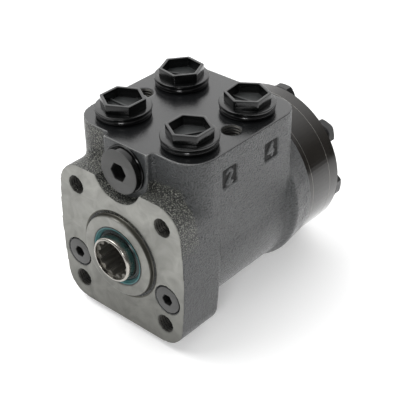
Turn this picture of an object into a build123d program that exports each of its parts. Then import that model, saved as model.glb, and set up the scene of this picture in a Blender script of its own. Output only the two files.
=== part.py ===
"""Orbital hydraulic steering unit: cast housing with its rotary valve, gear set and port plugs.

Frame: the shaft axis is Y and runs from the steering column (-Y) to the end cover (+Y).
X is to the right, Z is up, and the ports open upwards. The origin is on the shaft axis, in the
machined front face that bolts to the steering column. Sizes are in millimetres.
"""

from build123d import *
from math import atan2, cos, degrees, pi, radians, sin, sqrt
import os

# Clearances
RUN = 0.03              # radial clearance of a running fit
SLIP = 0.02             # gap between faces and pins that stay still against each other
AXIAL_GAP = 0.02        # end gap between turning faces
BOLT_PLAY = 0.25        # radial play of a bolt in its through hole

# Mounting flange
FLANGE_DEPTH = 28.0
FLANGE_HALF_WIDTH = 42.4    # at the shaft axis, where the barrelled sides are widest
FLANGE_TOP = 41.0
FLANGE_BOTTOM = 41.3
TOP_CORNER_R = 15.1
BOTTOM_CORNER_R = 13.6
FLANGE_LOWER_TAPER = 0.5    # how much narrower each side is at the lower corner
FLANGE_REAR_ROUND = 2.2
COLUMN_BOLT_CIRCLE = 82.5
COLUMN_THREAD_R = 5.0
COLUMN_THREAD_DEPTH = 17.0
SPIGOT_R = 22.5
SPIGOT_HEIGHT = 2.6
SPIGOT_RELIEF_WIDTH = 1.8
SPIGOT_RELIEF_DEPTH = 0.6

# Port block, belly and rear flange of the casting
PORT_FACE_Z = 60.0
BLOCK_HALF_WIDTH = 40.8
BLOCK_FRONT_Y = 11.0
BLOCK_BACK_Y = 92.0
BLOCK_FRONT_CORNER_R = 14.5
BLOCK_BACK_CORNER_R = 12.0
BOSS_FRONT_Y = 7.0
BOSS_HALF_WIDTH = 14.6
SCOOP_R = 16.2
WALL_FILLET = 3.5
BOSS_FILLET = 2.0
BOSS_ROUND = 1.0
BACK_FILLET = 2.5
BELLY_R = 41.5
BELLY_DROP = 1.0
HOUSING_LENGTH = 101.0
REAR_FLANGE_R = 44.8
REAR_FLANGE_END_R = 43.2
REAR_FLANGE_START_Y = 88.0
REAR_FLANGE_FLARE = 9.5
# Section of the flare: a hollow curve out of the belly, then a round up to the flange
FLARE_SINK = 0.5            # how far inside the belly it starts
FLARE_HOLLOW_RISE = 0.4     # rise above the belly and way along at the middle of the hollow
FLARE_HOLLOW_RUN = 4.1
FLARE_TURN_RISE = 2.1       # the same where the hollow turns into the round
FLARE_TURN_RUN = 6.7
FLARE_CREST_DROP = 0.3      # how far the middle of the round lies below the flange, and way along
FLARE_CREST_RUN = 7.9

# Ports
PORT_X = 22.0
PORT_Y = (29.0, 72.0)
PORT_THREAD_R = 10.3
PORT_DEPTH = 16.0
PASSAGE_R = 3.5
PASSAGE_TARGET_X = 13.0
PASSAGE_TARGET_Z = 14.0
BRACKET_THREAD_R = 5.0
BRACKET_THREAD_DEPTH = 15.0
BRACKET_SPACING = 58.6
BRACKET_Y = 51.0

# Cast port numerals, in sunk squares on both sides
MARK_Y = (36.3, 68.1)
MARK_Z = 45.2
MARK_SIDE = 10.8
MARK_DEPTH = 0.8
MARK_STROKE = 1.3
# Centre lines of the numerals 1 to 4, across and up from the middle of the square
NUMERALS = {
    1: [(-1.3, 1.9), (0.2, 3.4), (0.2, -3.4)],
    2: [(-1.9, 2.4), (-0.9, 3.4), (0.9, 3.4), (1.9, 2.4), (1.9, 1.2), (-1.9, -3.4), (2.1, -3.4)],
    3: [(-1.9, 3.4), (1.9, 3.4), (0.1, 0.7), (1.9, -0.9), (1.9, -2.4), (0.9, -3.4), (-1.9, -3.4)],
    4: [(1.0, -3.4), (1.0, 3.4), (-2.1, -1.3), (2.2, -1.3)],
}

# Rotary valve
SLEEVE_R = 19.0
SPOOL_R = 15.0
SPOOL_NOSE_R = 12.2
SPOOL_NOSE_OUT = 7.0
NOSE_CHAMFER = 0.8
SPOOL_BORE_R = 10.0
VALVE_END_GAP = 0.1
VALVE_GROOVE_Y = (30.0, 42.0, 62.0, 74.0)
VALVE_GROOVE_R = 21.5
VALVE_GROOVE_WIDTH = 4.0
VALVE_HOLE_R = 1.6
VALVE_HOLES_PER_ROW = 6
VALVE_ROW_START = 15.0      # angle of the first hole of a row
METERING_Y = 92.0
METERING_HOLE_R = 1.4
METERING_HOLES = 12
SPOOL_BORE_Y = 28.0
SPOOL_RING_Y = (47.0, 82.0)
SPOOL_RING_WIDTH = 2.4
SPOOL_RING_DEPTH = 1.2
SPOOL_SLOT_LENGTH = 26.0
SPOOL_SLOT_WIDTH = 3.2
SPOOL_SLOT_Y = 66.0
PIN_Y = 36.0
PIN_R = 3.0
PIN_LENGTH = 37.0
PIN_CHAMFER = 0.4
PIN_HOLE_IN_SPOOL_R = 5.4
SPRING_SLOT_Y = 17.5
SPRING_SLOT_LENGTH = 7.4
SPRING_SLOT_HEIGHT = 5.2
LEAF_THICKNESS = 0.6
LEAF_LENGTH = 36.0
LEAVES_PER_SIDE = 3
LEAF_ARCH = 0.68            # how far the ends of the packs spread, to press on the slot's walls
LEAF_SIDE_GAP = 0.1

# Input spline, 12 teeth on a 19.05 mm pitch circle
SPLINE_TEETH = 12
SPLINE_MINOR_R = 8.75
SPLINE_MAJOR_R = 10.4
SPLINE_GAP_INNER = 1.62     # half width of a tooth space at the minor circle
SPLINE_GAP_OUTER = 0.85     # half width of a tooth space at the major circle
SPLINE_END_Y = 12.0
NOSE_MOUTH_R = 10.9
NOSE_MOUTH_DEPTH = 1.6

# Seals and thrust bearing at the front of the bore
DUST_SEAT_R = 16.3
DUST_SEAL_DEPTH = 4.0
SHAFT_SEAL_R = 16.0
SHAFT_SEAL_Y = 3.2
SHAFT_SEAL_WIDTH = 3.6
SEAL_LIP_GAP = 0.05
SEAL_LIP_WIDTH = 1.2
SEAL_BODY_GAP = 0.6
SEAL_RECESS = 0.3
NECK_BORE_R = 13.2
BEARING_Y = 9.0
RACE_THICKNESS = 1.0
RACE_BORE_R = 12.6
RACE_R = 18.7
NEEDLE_R = 1.0
NEEDLE_LENGTH = 4.2
NEEDLE_COUNT = 16
CAGE_THICKNESS = 1.5
CAGE_BORE_R = 13.0
CAGE_R = 18.5

# Drive shaft
ECCENTRICITY = 2.5
SHAFT_R = 6.5
FORK_R = 8.8
FORK_FRONT = 7.0
FORK_SLOT_BEHIND_PIN = 0.3
FORK_LENGTH = 15.0
FORK_TAPER_LENGTH = 4.0
CROWN_WIDTH = 8.0
CROWN_CLEARANCE = 0.2
CROWN_END_WIDTH = 2.0
CROWN_END_TAPER = 6.0

# Gear set and covers
DRUM_R = 42.7
PLATE_THICKNESS = 3.0
PLATE_BORE_R = 11.5
GEAR_WIDTH = 15.0
LOBE_COUNT = 7
LOBE_R = 8.0
LOBE_CIRCLE_R = 31.0
GEAR_CLEARANCE = 0.06
ROTOR_POINTS = 180
POCKET_GAP = 0.15
FEED_HOLE_R = 1.8
FEED_CIRCLE_R = 25.5
COVER_THICKNESS = 8.0
COVER_CHAMFER = 0.7
JOINT_CHAMFER = 0.3
SPACER_R = 8.2
SPACER_THICKNESS = 3.0
ORING_CIRCLE_R = 40.4
ORING_GROOVE_WIDTH = 1.8
ORING_GROOVE_DEPTH = 1.3
ORING_ROUND = 0.4

# Cover bolts, M8
BOLT_CIRCLE_R = 34.75
BOLT_R = 4.0
BOLT_ENGAGEMENT = 12.0
BOLT_HOLE_EXTRA = 2.0
BOLT_HEAD_FLATS = 13.0
BOLT_HEAD_HEIGHT = 5.3
WASHER_R = 7.8
WASHER_THICKNESS = 1.5
BOLT_TOP_ANGLE = 90.0       # one bolt stands above the shaft

# Relief valve
VALVE_Z = 47.4
RELIEF_HEAD_R = 11.8
RELIEF_HEAD_THICKNESS = 3.6
RELIEF_HEAD_CHAMFER = 0.5
RELIEF_SEAL_R = 12.6
RELIEF_SEAL_THICKNESS = 1.4
RELIEF_THREAD_R = 8.0
RELIEF_THREAD_LENGTH = 12.0
RELIEF_KEY_FLATS = 8.0
RELIEF_KEY_DEPTH = 6.0
RELIEF_BORE_R = 6.0
ADJUSTER_LENGTH = 6.0
ADJUSTER_KEY_FLATS = 4.0
ADJUSTER_KEY_DEPTH = 2.5
RELIEF_SPRING_LENGTH = 16.0
RELIEF_SPRING_R = 4.0
RELIEF_WIRE_R = 0.9
RELIEF_TURNS = 6
POPPET_GUIDE_R = 2.8
POPPET_FLANGE_R = 5.4
POPPET_FLANGE_THICKNESS = 2.0
POPPET_GUIDE_LENGTH = 5.0
POPPET_CONE_LENGTH = 2.4
POPPET_TIP_R = 0.2
SEAT_HOLE_R = 2.0
SEAT_THICKNESS = 6.0
RELIEF_CHAMBER_LENGTH = 8.0
RELIEF_CHAMBER_STEP = 2.0   # how much smaller than the bore the chamber behind the seat is
RELIEF_CROSS_R = 2.2

# Shock valves, one each side of the shaft
SHOCK_X = 31.0
SHOCK_Z = -13.2
SHOCK_RECESS_R = 8.3
SHOCK_RECESS_DEPTH = 1.2
SHOCK_PLUG_R = 7.5
SHOCK_PLUG_SUNK = 0.2
SHOCK_PLUG_LENGTH = 12.0
SHOCK_KEY_FLATS = 5.0
SHOCK_KEY_DEPTH = 4.5
SHOCK_BORE_R = 4.5
SHOCK_BALL_R = 3.5
SHOCK_SEAT_R = 2.5
SHOCK_SPRING_LENGTH = 12.0
SHOCK_WIRE_R = 0.5
SHOCK_SPRING_R = 2.6
SHOCK_TURNS = 6
SHOCK_PASSAGE_LENGTH = 8.0

# A cross drilling is this much smaller than the valve passage that it opens into
CROSS_DRILL_STEP = 0.5

# Check valve under the pressure port
CHECK_PORT = 4
CHECK_BORE_R = 6.0
CHECK_BORE_DEPTH = 13.0
CHECK_BUSH_LENGTH = 6.0
CHECK_BUSH_HOLE_R = 3.0
CHECK_BALL_R = 4.5

# Suction valves, bored into the rear face between the bolts
SUCTION_CIRCLE_R = 34.0
SUCTION_BORE_R = 3.3
SUCTION_BORE_DEPTH = 21.0
SUCTION_BALL_R = 3.1
SUCTION_SEAT_R = 2.0
SUCTION_PASSAGE_LENGTH = 6.0
SUCTION_PIN_LENGTH = 14.6
SUCTION_PIN_SUNK = 0.5
SUCTION_PIN_WALL = 1.2
SUCTION_PIN_SLIT = 0.8

# Plastic transport plugs
PLUG_FLATS = 20.8
PLUG_WALL = 1.6
PLUG_HEX_HEIGHT = 4.6
PLUG_FLOOR = 1.1
PLUG_DISC_R = 14.4
PLUG_DISC_THICKNESS = 1.7
PLUG_STEM_R = 9.9
PLUG_STEM_LENGTH = 9.0
PLUG_STEM_WALL = 1.6
PLUG_RIB_WIDTH = 1.2
PLUG_RIB_HEIGHT = 0.9
PLUG_SEAL_HEIGHT = 3.1
PLUG_SEAL_R = 14.1
PLUG_SEAL_ROUND = 1.3
PLUG_SEAL_PLAY = 0.3
# number, x, y and how far round each plug is screwed: the direction of its rib and of two flats
PLUGS = (
    (1, -PORT_X, PORT_Y[0], 179.2),
    (2, PORT_X, PORT_Y[0], 60.2),
    (3, -PORT_X, PORT_Y[1], 22.2),
    (4, PORT_X, PORT_Y[1], 5.1),
)


def polar(radius, angle):
    """Point (x, z) at a radius and an angle from +X."""
    return (radius * cos(radians(angle)), radius * sin(radians(angle)))


# Places worked out from the sizes above
HOUSING_BORE_R = SLEEVE_R + RUN
SLEEVE_Y = BEARING_Y + 2 * RACE_THICKNESS + 2 * NEEDLE_R + 3 * AXIAL_GAP
VALVE_END_Y = HOUSING_LENGTH - VALVE_END_GAP
PLATE_Y = HOUSING_LENGTH
GEAR_Y = PLATE_Y + PLATE_THICKNESS
COVER_Y = GEAR_Y + GEAR_WIDTH
COVER_END_Y = COVER_Y + COVER_THICKNESS
CROWN_Y = GEAR_Y + GEAR_WIDTH / 2
RELIEF_THREAD_END_Y = BOSS_FRONT_Y + RELIEF_THREAD_LENGTH
ADJUSTER_Y = RELIEF_THREAD_END_Y + SLIP
RELIEF_SPRING_Y = ADJUSTER_Y + ADJUSTER_LENGTH + SLIP
POPPET_Y = RELIEF_SPRING_Y + RELIEF_SPRING_LENGTH + SLIP
RELIEF_SEAT_Y = POPPET_Y + POPPET_FLANGE_THICKNESS + POPPET_CONE_LENGTH / 2
RELIEF_BORE_END_Y = RELIEF_SEAT_Y + SEAT_THICKNESS
SHOCK_SPRING_Y = SHOCK_PLUG_SUNK + SHOCK_PLUG_LENGTH + SLIP
SHOCK_SPRING_REST = sqrt((SHOCK_BALL_R + SHOCK_WIRE_R) ** 2 - SHOCK_SPRING_R**2) - SHOCK_WIRE_R
SHOCK_BALL_Y = SHOCK_SPRING_Y + SHOCK_SPRING_LENGTH + SHOCK_SPRING_REST + SLIP
SHOCK_BORE_END_Y = SHOCK_BALL_Y + sqrt(SHOCK_BALL_R**2 - SHOCK_SEAT_R**2) + SLIP
CHECK_SEAT_Z = PORT_FACE_Z - PORT_DEPTH - CHECK_BUSH_LENGTH
CHECK_FLOOR_Z = PORT_FACE_Z - PORT_DEPTH - CHECK_BORE_DEPTH
CHECK_BALL_Z = CHECK_FLOOR_Z + sqrt(CHECK_BALL_R**2 - PASSAGE_R**2) + SLIP
SUCTION_FLOOR_Y = HOUSING_LENGTH - SUCTION_BORE_DEPTH
SUCTION_BALL_Y = SUCTION_FLOOR_Y + sqrt(SUCTION_BALL_R**2 - SUCTION_SEAT_R**2) + SLIP
POCKET_R = LOBE_CIRCLE_R - LOBE_R + 2 * ECCENTRICITY + POCKET_GAP
BOLT_PITCH = 360 / LOBE_COUNT
BOLT_ANGLES = [BOLT_TOP_ANGLE + BOLT_PITCH * i for i in range(LOBE_COUNT)]
FEED_ANGLES = [angle + BOLT_PITCH / 2 for angle in BOLT_ANGLES]
PLUG_DISC_Z = PORT_FACE_Z + PLUG_SEAL_HEIGHT
NEEDLE_Y = BEARING_Y + RACE_THICKNESS + AXIAL_GAP + NEEDLE_R
NEEDLE_MIDDLE_R = (CAGE_BORE_R + CAGE_R) / 2
BOLT_HOLE_R = BOLT_R + BOLT_PLAY
BOLT_CENTRES = [polar(BOLT_CIRCLE_R, angle) for angle in BOLT_ANGLES]
COLUMN_HOLES = [polar(COLUMN_BOLT_CIRCLE / 2, 45 + 90 * i) for i in range(4)]
SUCTION_CENTRES = [polar(SUCTION_CIRCLE_R, FEED_ANGLES[i]) for i in (1, 5)]


def across(y, z=0.0):
    """Plane across the shaft at y, with X to its right and Z up; negative extrudes go to +Y."""
    return Plane(origin=(0, y, z), x_dir=(1, 0, 0), z_dir=(0, -1, 0))


def round_along(y_from, y_to, radius, centres=((0, 0),), mode=Mode.ADD):
    """Cylinders along the shaft direction, from one y to another."""
    with BuildSketch(across(y_from)) as section:
        with Locations(*centres):
            Circle(radius)
    extrude(section.sketch, amount=y_from - y_to, mode=mode)


def ring_along(y_from, y_to, outer_r, inner_r, centre=(0, 0), mode=Mode.ADD):
    """Tube or ring groove along the shaft direction."""
    with BuildSketch(across(y_from)) as section:
        with Locations(centre):
            Circle(outer_r)
            Circle(inner_r, mode=Mode.SUBTRACT)
    extrude(section.sketch, amount=y_from - y_to, mode=mode)


def round_down(x, y, z_top, depth, radius, mode=Mode.SUBTRACT):
    """Vertical cylinder that hangs from z_top."""
    with BuildSketch(Plane.XY.offset(z_top)) as section:
        with Locations((x, y)):
            Circle(radius)
    extrude(section.sketch, amount=-depth, mode=mode)


def drilling(start, end, radius):
    """Straight drilled passage between two points."""
    reach = Vector(*end) - Vector(*start)
    with BuildSketch(Plane(origin=start, z_dir=reach)) as section:
        Circle(radius)
    extrude(section.sketch, amount=reach.length, mode=Mode.SUBTRACT)


def radial_places(y, count, first_angle=0.0):
    """Places on the shaft axis at y that look outwards, evenly round the shaft."""
    places = []
    for i in range(count):
        x, z = polar(1, first_angle + 360 * i / count)
        places.append(Location(Plane(origin=(0, y, 0), x_dir=(0, 1, 0), z_dir=(x, 0, z))))
    return places


def spline_spaces(inset=0.0):
    """Sketch of the splined hole, teeth drawn as trapezoids; an inset makes the shaft that fits it."""
    inner_r = SPLINE_MINOR_R - inset
    outer_r = SPLINE_MAJOR_R - inset
    inner_half = SPLINE_GAP_INNER - inset
    outer_half = SPLINE_GAP_OUTER - inset
    Circle(inner_r)
    with PolarLocations(0, SPLINE_TEETH):
        Polygon(
            (inner_r - 1, inner_half),
            (inner_r, inner_half),
            (outer_r, outer_half),
            (outer_r, -outer_half),
            (inner_r, -inner_half),
            (inner_r - 1, -inner_half),
            align=None,
        )


def rotor_point(turn):
    """Point of the rotor flank that rolls on the ring's round lobes, one lobe of it straight up."""
    lag = LOBE_COUNT * turn
    x = LOBE_CIRCLE_R * cos(turn) - ECCENTRICITY * cos(lag)
    z = LOBE_CIRCLE_R * sin(turn) - ECCENTRICITY * sin(lag)
    dx = LOBE_COUNT * ECCENTRICITY * sin(lag) - LOBE_CIRCLE_R * sin(turn)
    dz = LOBE_CIRCLE_R * cos(turn) - LOBE_COUNT * ECCENTRICITY * cos(lag)
    inset = (LOBE_R + GEAR_CLEARANCE) / sqrt(dx**2 + dz**2)
    return (-z - inset * dx, x - inset * dz + ECCENTRICITY)


def coil(radius, wire_r, length, turns, y_start, centre):
    """Round-wire compression spring along the shaft direction, outer ends on its length."""
    pitch = (length - 2 * wire_r) / turns
    start = (centre[0], y_start + wire_r, centre[1])
    with BuildLine() as wire:
        Helix(pitch, length - 2 * wire_r, radius, center=start, direction=(0, 1, 0))
    with BuildSketch(Plane(origin=wire.line @ 0, z_dir=wire.line % 0)) as section:
        Circle(wire_r)
    sweep(section.sketch, path=wire.line)


def oring_groove(y, mode=Mode.SUBTRACT):
    """Face groove for one of the rear O-rings, open towards +Y."""
    outer_r = ORING_CIRCLE_R + ORING_GROOVE_WIDTH / 2
    ring_along(y, y + ORING_GROOVE_DEPTH, outer_r, outer_r - ORING_GROOVE_WIDTH, mode=mode)


def finish(part, name):
    """Label a finished piece and write it to its own file."""
    part.label = name
    export_step(part, f"parts/{name}.step")


os.makedirs("parts", exist_ok=True)

# ---------------------------------------------------------------- housing
with BuildPart() as housing:
    # Mounting flange: barrelled sides, round corners
    side_top = FLANGE_TOP - TOP_CORNER_R
    side_bottom = -FLANGE_BOTTOM + BOTTOM_CORNER_R
    corner_top = (FLANGE_TOP - TOP_CORNER_R, FLANGE_TOP)
    corner_side = (FLANGE_TOP, side_top)
    lower_side = (FLANGE_BOTTOM - FLANGE_LOWER_TAPER, side_bottom)
    lower_corner = (FLANGE_BOTTOM - BOTTOM_CORNER_R - FLANGE_LOWER_TAPER, -FLANGE_BOTTOM)
    top_mid = side_top + TOP_CORNER_R * sin(radians(45))
    low_mid = (
        lower_side[0] - BOTTOM_CORNER_R * (1 - cos(radians(45))),
        side_bottom - BOTTOM_CORNER_R * sin(radians(45)),
    )
    with BuildSketch(across(0)):
        with BuildLine():
            Line((0, FLANGE_TOP), corner_top)
            ThreePointArc(corner_top, (top_mid, top_mid), corner_side)
            ThreePointArc(corner_side, (FLANGE_HALF_WIDTH, 0), lower_side)
            ThreePointArc(lower_side, low_mid, lower_corner)
            Line(lower_corner, (0, -FLANGE_BOTTOM))
            mirror(about=Plane.YZ)
        make_face()
    extrude(amount=-FLANGE_DEPTH)
    rear_rim = housing.faces().sort_by(Axis.Y)[-1].edges()
    fillet(rear_rim.filter_by_position(Axis.Z, -FLANGE_BOTTOM, 0), FLANGE_REAR_ROUND)

    # Port block
    front_arc_start = (BLOCK_HALF_WIDTH - BLOCK_FRONT_CORNER_R, BLOCK_FRONT_Y)
    front_arc_end = (BLOCK_HALF_WIDTH, BLOCK_FRONT_Y + BLOCK_FRONT_CORNER_R)
    back_arc_start = (BLOCK_HALF_WIDTH, BLOCK_BACK_Y - BLOCK_BACK_CORNER_R)
    back_arc_end = (BLOCK_HALF_WIDTH - BLOCK_BACK_CORNER_R, BLOCK_BACK_Y)
    with BuildSketch():
        with BuildLine():
            Line((0, BLOCK_FRONT_Y), front_arc_start)
            RadiusArc(front_arc_start, front_arc_end, -BLOCK_FRONT_CORNER_R)
            Line(front_arc_end, back_arc_start)
            RadiusArc(back_arc_start, back_arc_end, -BLOCK_BACK_CORNER_R)
            Line(back_arc_end, (0, BLOCK_BACK_Y))
            mirror(about=Plane.YZ)
        make_face()
    extrude(amount=PORT_FACE_Z)

    # Belly round the valve bore, and the rear flange that flares out of it
    round_along(FLANGE_DEPTH - 1, REAR_FLANGE_START_Y, BELLY_R, [(0, -BELLY_DROP)])
    flare_y = REAR_FLANGE_START_Y - REAR_FLANGE_FLARE
    flare_start = (BELLY_R - FLARE_SINK, flare_y)
    flare_hollow = (BELLY_R + FLARE_HOLLOW_RISE, flare_y + FLARE_HOLLOW_RUN)
    flare_turn = (BELLY_R + FLARE_TURN_RISE, flare_y + FLARE_TURN_RUN)
    flare_crest = (REAR_FLANGE_R - FLARE_CREST_DROP, flare_y + FLARE_CREST_RUN)
    flare_end = (REAR_FLANGE_R, REAR_FLANGE_START_Y)
    with BuildSketch():
        with BuildLine():
            Line((0, flare_y), flare_start)
            ThreePointArc(flare_start, flare_hollow, flare_turn)
            ThreePointArc(flare_turn, flare_crest, flare_end)
            Line(flare_end, (REAR_FLANGE_END_R, HOUSING_LENGTH))
            Line((REAR_FLANGE_END_R, HOUSING_LENGTH), (0, HOUSING_LENGTH))
            Line((0, HOUSING_LENGTH), (0, flare_y))
        make_face()
    revolve(axis=Axis.Y)

    # Cast fillets: block wall on the flange shoulder, back wall on the rear flange
    wall_foot = housing.edges().filter_by(Axis.X).filter_by_position(Axis.Y, BLOCK_FRONT_Y, BLOCK_FRONT_Y)
    fillet(wall_foot.filter_by_position(Axis.Z, FLANGE_TOP, FLANGE_TOP), WALL_FILLET)
    back_foot = housing.edges().filter_by_position(Axis.Y, BLOCK_BACK_Y, BLOCK_BACK_Y)
    fillet(back_foot.filter_by(GeomType.CIRCLE).sort_by(Axis.Z)[0], BACK_FILLET)

    # Boss of the relief valve on the block's front wall, and the scoop the valve's head sits in
    boss_round_start = (BOSS_HALF_WIDTH - BOSS_ROUND, BOSS_FRONT_Y)
    boss_round_end = (BOSS_HALF_WIDTH, BOSS_FRONT_Y + BOSS_ROUND)
    boss_arc_start = (BOSS_HALF_WIDTH, BLOCK_FRONT_Y - BOSS_FILLET)
    boss_arc_end = (BOSS_HALF_WIDTH + BOSS_FILLET, BLOCK_FRONT_Y)
    boss_back_y = BLOCK_FRONT_Y + WALL_FILLET
    with BuildSketch(Plane.XY.offset(FLANGE_TOP - WALL_FILLET)):
        with BuildLine():
            Line((0, BOSS_FRONT_Y), boss_round_start)
            RadiusArc(boss_round_start, boss_round_end, -BOSS_ROUND)
            Line(boss_round_end, boss_arc_start)
            RadiusArc(boss_arc_start, boss_arc_end, BOSS_FILLET)
            Line(boss_arc_end, (boss_arc_end[0], boss_back_y))
            Line((boss_arc_end[0], boss_back_y), (0, boss_back_y))
            mirror(about=Plane.YZ)
        make_face()
    extrude(amount=PORT_FACE_Z - FLANGE_TOP + WALL_FILLET)
    round_along(-1, BOSS_FRONT_Y, SCOOP_R, [(0, VALVE_Z)], Mode.SUBTRACT)

    # Spigot that centres the steering column, with a machined relief round its foot
    round_along(-SPIGOT_HEIGHT, 0, SPIGOT_R)
    ring_along(0, SPIGOT_RELIEF_DEPTH, SPIGOT_R + SPIGOT_RELIEF_WIDTH, SPIGOT_R, mode=Mode.SUBTRACT)
    chamfer(housing.edges().filter_by_position(Axis.Y, -SPIGOT_HEIGHT, -SPIGOT_HEIGHT), JOINT_CHAMFER)

    # Front bores: dust seal seat, neck, shaft seal groove, bearing and valve bore
    round_along(-SPIGOT_HEIGHT, DUST_SEAL_DEPTH - SPIGOT_HEIGHT, DUST_SEAT_R, mode=Mode.SUBTRACT)
    round_along(-SPIGOT_HEIGHT, HOUSING_LENGTH, NECK_BORE_R, mode=Mode.SUBTRACT)
    round_along(SHAFT_SEAL_Y, SHAFT_SEAL_Y + SHAFT_SEAL_WIDTH, SHAFT_SEAL_R, mode=Mode.SUBTRACT)
    round_along(BEARING_Y, HOUSING_LENGTH, HOUSING_BORE_R, mode=Mode.SUBTRACT)
    for groove_y in VALVE_GROOVE_Y:
        groove_start = groove_y - VALVE_GROOVE_WIDTH / 2
        round_along(groove_start, groove_start + VALVE_GROOVE_WIDTH, VALVE_GROOVE_R, mode=Mode.SUBTRACT)

    # Four ports, each joined to its own groove of the valve bore by a slanted passage
    port_floor_z = PORT_FACE_Z - PORT_DEPTH
    for (number, x, y, turn), groove_y in zip(PLUGS, VALVE_GROOVE_Y):
        side = 1 if x > 0 else -1
        passage_z = CHECK_FLOOR_Z if number == CHECK_PORT else port_floor_z
        round_down(x, y, PORT_FACE_Z, PORT_DEPTH, PORT_THREAD_R)
        drilling((x, y, passage_z + 1), (side * PASSAGE_TARGET_X, groove_y, PASSAGE_TARGET_Z), PASSAGE_R)
        if number == CHECK_PORT:
            round_down(x, y, port_floor_z, CHECK_BORE_DEPTH, CHECK_BORE_R)
            round_down(x, y, CHECK_FLOOR_Z, 2, PASSAGE_R)

    # Threaded holes: steering column, bracket on the port face, cover bolts
    for x, z in COLUMN_HOLES:
        round_along(0, COLUMN_THREAD_DEPTH, COLUMN_THREAD_R, [(x, z)], Mode.SUBTRACT)
    for x in (-BRACKET_SPACING / 2, BRACKET_SPACING / 2):
        round_down(x, BRACKET_Y, PORT_FACE_Z, BRACKET_THREAD_DEPTH, BRACKET_THREAD_R)
    bolt_depth = BOLT_ENGAGEMENT + BOLT_HOLE_EXTRA
    round_along(HOUSING_LENGTH - bolt_depth, HOUSING_LENGTH, BOLT_R + SLIP, BOLT_CENTRES, Mode.SUBTRACT)

    # Feed passages from the metering holes of the sleeve to the gear set
    for angle in FEED_ANGLES:
        rear_x, rear_z = polar(FEED_CIRCLE_R, angle)
        bore_x, bore_z = polar(SLEEVE_R, angle)
        drilling((bore_x, METERING_Y, bore_z), (rear_x, HOUSING_LENGTH + 1, rear_z), FEED_HOLE_R)

    # Relief valve bore with its drain and pressure cross drillings
    relief_centre = [(0, VALVE_Z)]
    round_along(BOSS_FRONT_Y, RELIEF_THREAD_END_Y, RELIEF_THREAD_R + SLIP, relief_centre, Mode.SUBTRACT)
    round_along(BOSS_FRONT_Y, RELIEF_BORE_END_Y, RELIEF_BORE_R, relief_centre, Mode.SUBTRACT)
    chamber_end_y = RELIEF_BORE_END_Y + RELIEF_CHAMBER_LENGTH
    chamber_r = RELIEF_BORE_R - RELIEF_CHAMBER_STEP
    round_along(BOSS_FRONT_Y, chamber_end_y, chamber_r, relief_centre, Mode.SUBTRACT)
    drilling((0, PORT_Y[0], VALVE_Z), (-PORT_X, PORT_Y[0], VALVE_Z), RELIEF_CROSS_R)
    pressure_y = chamber_end_y - RELIEF_CROSS_R - 1
    drilling((0, pressure_y, VALVE_Z), (PORT_X, PORT_Y[1], VALVE_Z), RELIEF_CROSS_R)

    # Shock valve bores in the flange face
    for side in (-1, 1):
        centre = [(side * SHOCK_X, SHOCK_Z)]
        passage_end_y = SHOCK_BORE_END_Y + SHOCK_PASSAGE_LENGTH
        round_along(0, SHOCK_RECESS_DEPTH, SHOCK_RECESS_R, centre, Mode.SUBTRACT)
        round_along(0, SHOCK_SPRING_Y, SHOCK_PLUG_R + SLIP, centre, Mode.SUBTRACT)
        round_along(0, SHOCK_BORE_END_Y, SHOCK_BORE_R, centre, Mode.SUBTRACT)
        round_along(0, passage_end_y, SHOCK_SEAT_R, centre, Mode.SUBTRACT)
        passage_y = passage_end_y - SHOCK_SEAT_R
        drilling((side * SHOCK_X, passage_y, SHOCK_Z), (0, passage_y, 0), SHOCK_SEAT_R - CROSS_DRILL_STEP)

    # Suction valve bores in the rear face
    for x, z in SUCTION_CENTRES:
        inner_y = SUCTION_FLOOR_Y - SUCTION_PASSAGE_LENGTH
        round_along(SUCTION_FLOOR_Y, HOUSING_LENGTH, SUCTION_BORE_R, [(x, z)], Mode.SUBTRACT)
        round_along(inner_y, HOUSING_LENGTH, SUCTION_SEAT_R, [(x, z)], Mode.SUBTRACT)
        cross_y = inner_y + SUCTION_SEAT_R
        drilling((x, cross_y, z), (0, cross_y, 0), SUCTION_SEAT_R - CROSS_DRILL_STEP)

    # Rear O-ring groove
    oring_groove(HOUSING_LENGTH - ORING_GROOVE_DEPTH)

    # Port numerals on both sides, raised in sunk squares to the level of the cast wall
    for number, x, y, turn in PLUGS:
        side = 1 if x > 0 else -1
        mark_y = MARK_Y[0] if y == PORT_Y[0] else MARK_Y[1]
        floor_x = side * (BLOCK_HALF_WIDTH - MARK_DEPTH)
        mark_plane = Plane(origin=(floor_x, mark_y, MARK_Z), x_dir=(0, side, 0), z_dir=(side, 0, 0))
        with BuildSketch(mark_plane) as mark:
            Rectangle(MARK_SIDE, MARK_SIDE)
            for start, end in zip(NUMERALS[number], NUMERALS[number][1:]):
                stroke = Vector(*end) - Vector(*start)
                with Locations(Vector(*start) + stroke / 2):
                    SlotCenterToCenter(
                        stroke.length, MARK_STROKE, degrees(atan2(stroke.Y, stroke.X)), mode=Mode.SUBTRACT
                    )
        extrude(mark.sketch, amount=MARK_DEPTH + 1, mode=Mode.SUBTRACT)
finish(housing.part, "housing")

# ---------------------------------------------------------------- front seals and thrust bearing
with BuildPart() as dust_seal:
    seal_start = SEAL_RECESS - SPIGOT_HEIGHT
    ring_along(seal_start, DUST_SEAL_DEPTH - SPIGOT_HEIGHT, DUST_SEAT_R, SPOOL_NOSE_R + SEAL_BODY_GAP)
    lip_start = seal_start + SEAL_LIP_WIDTH
    ring_along(lip_start, lip_start + SEAL_LIP_WIDTH, DUST_SEAT_R - 1, SPOOL_NOSE_R + SEAL_LIP_GAP)
finish(dust_seal.part, "dust_seal")

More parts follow.
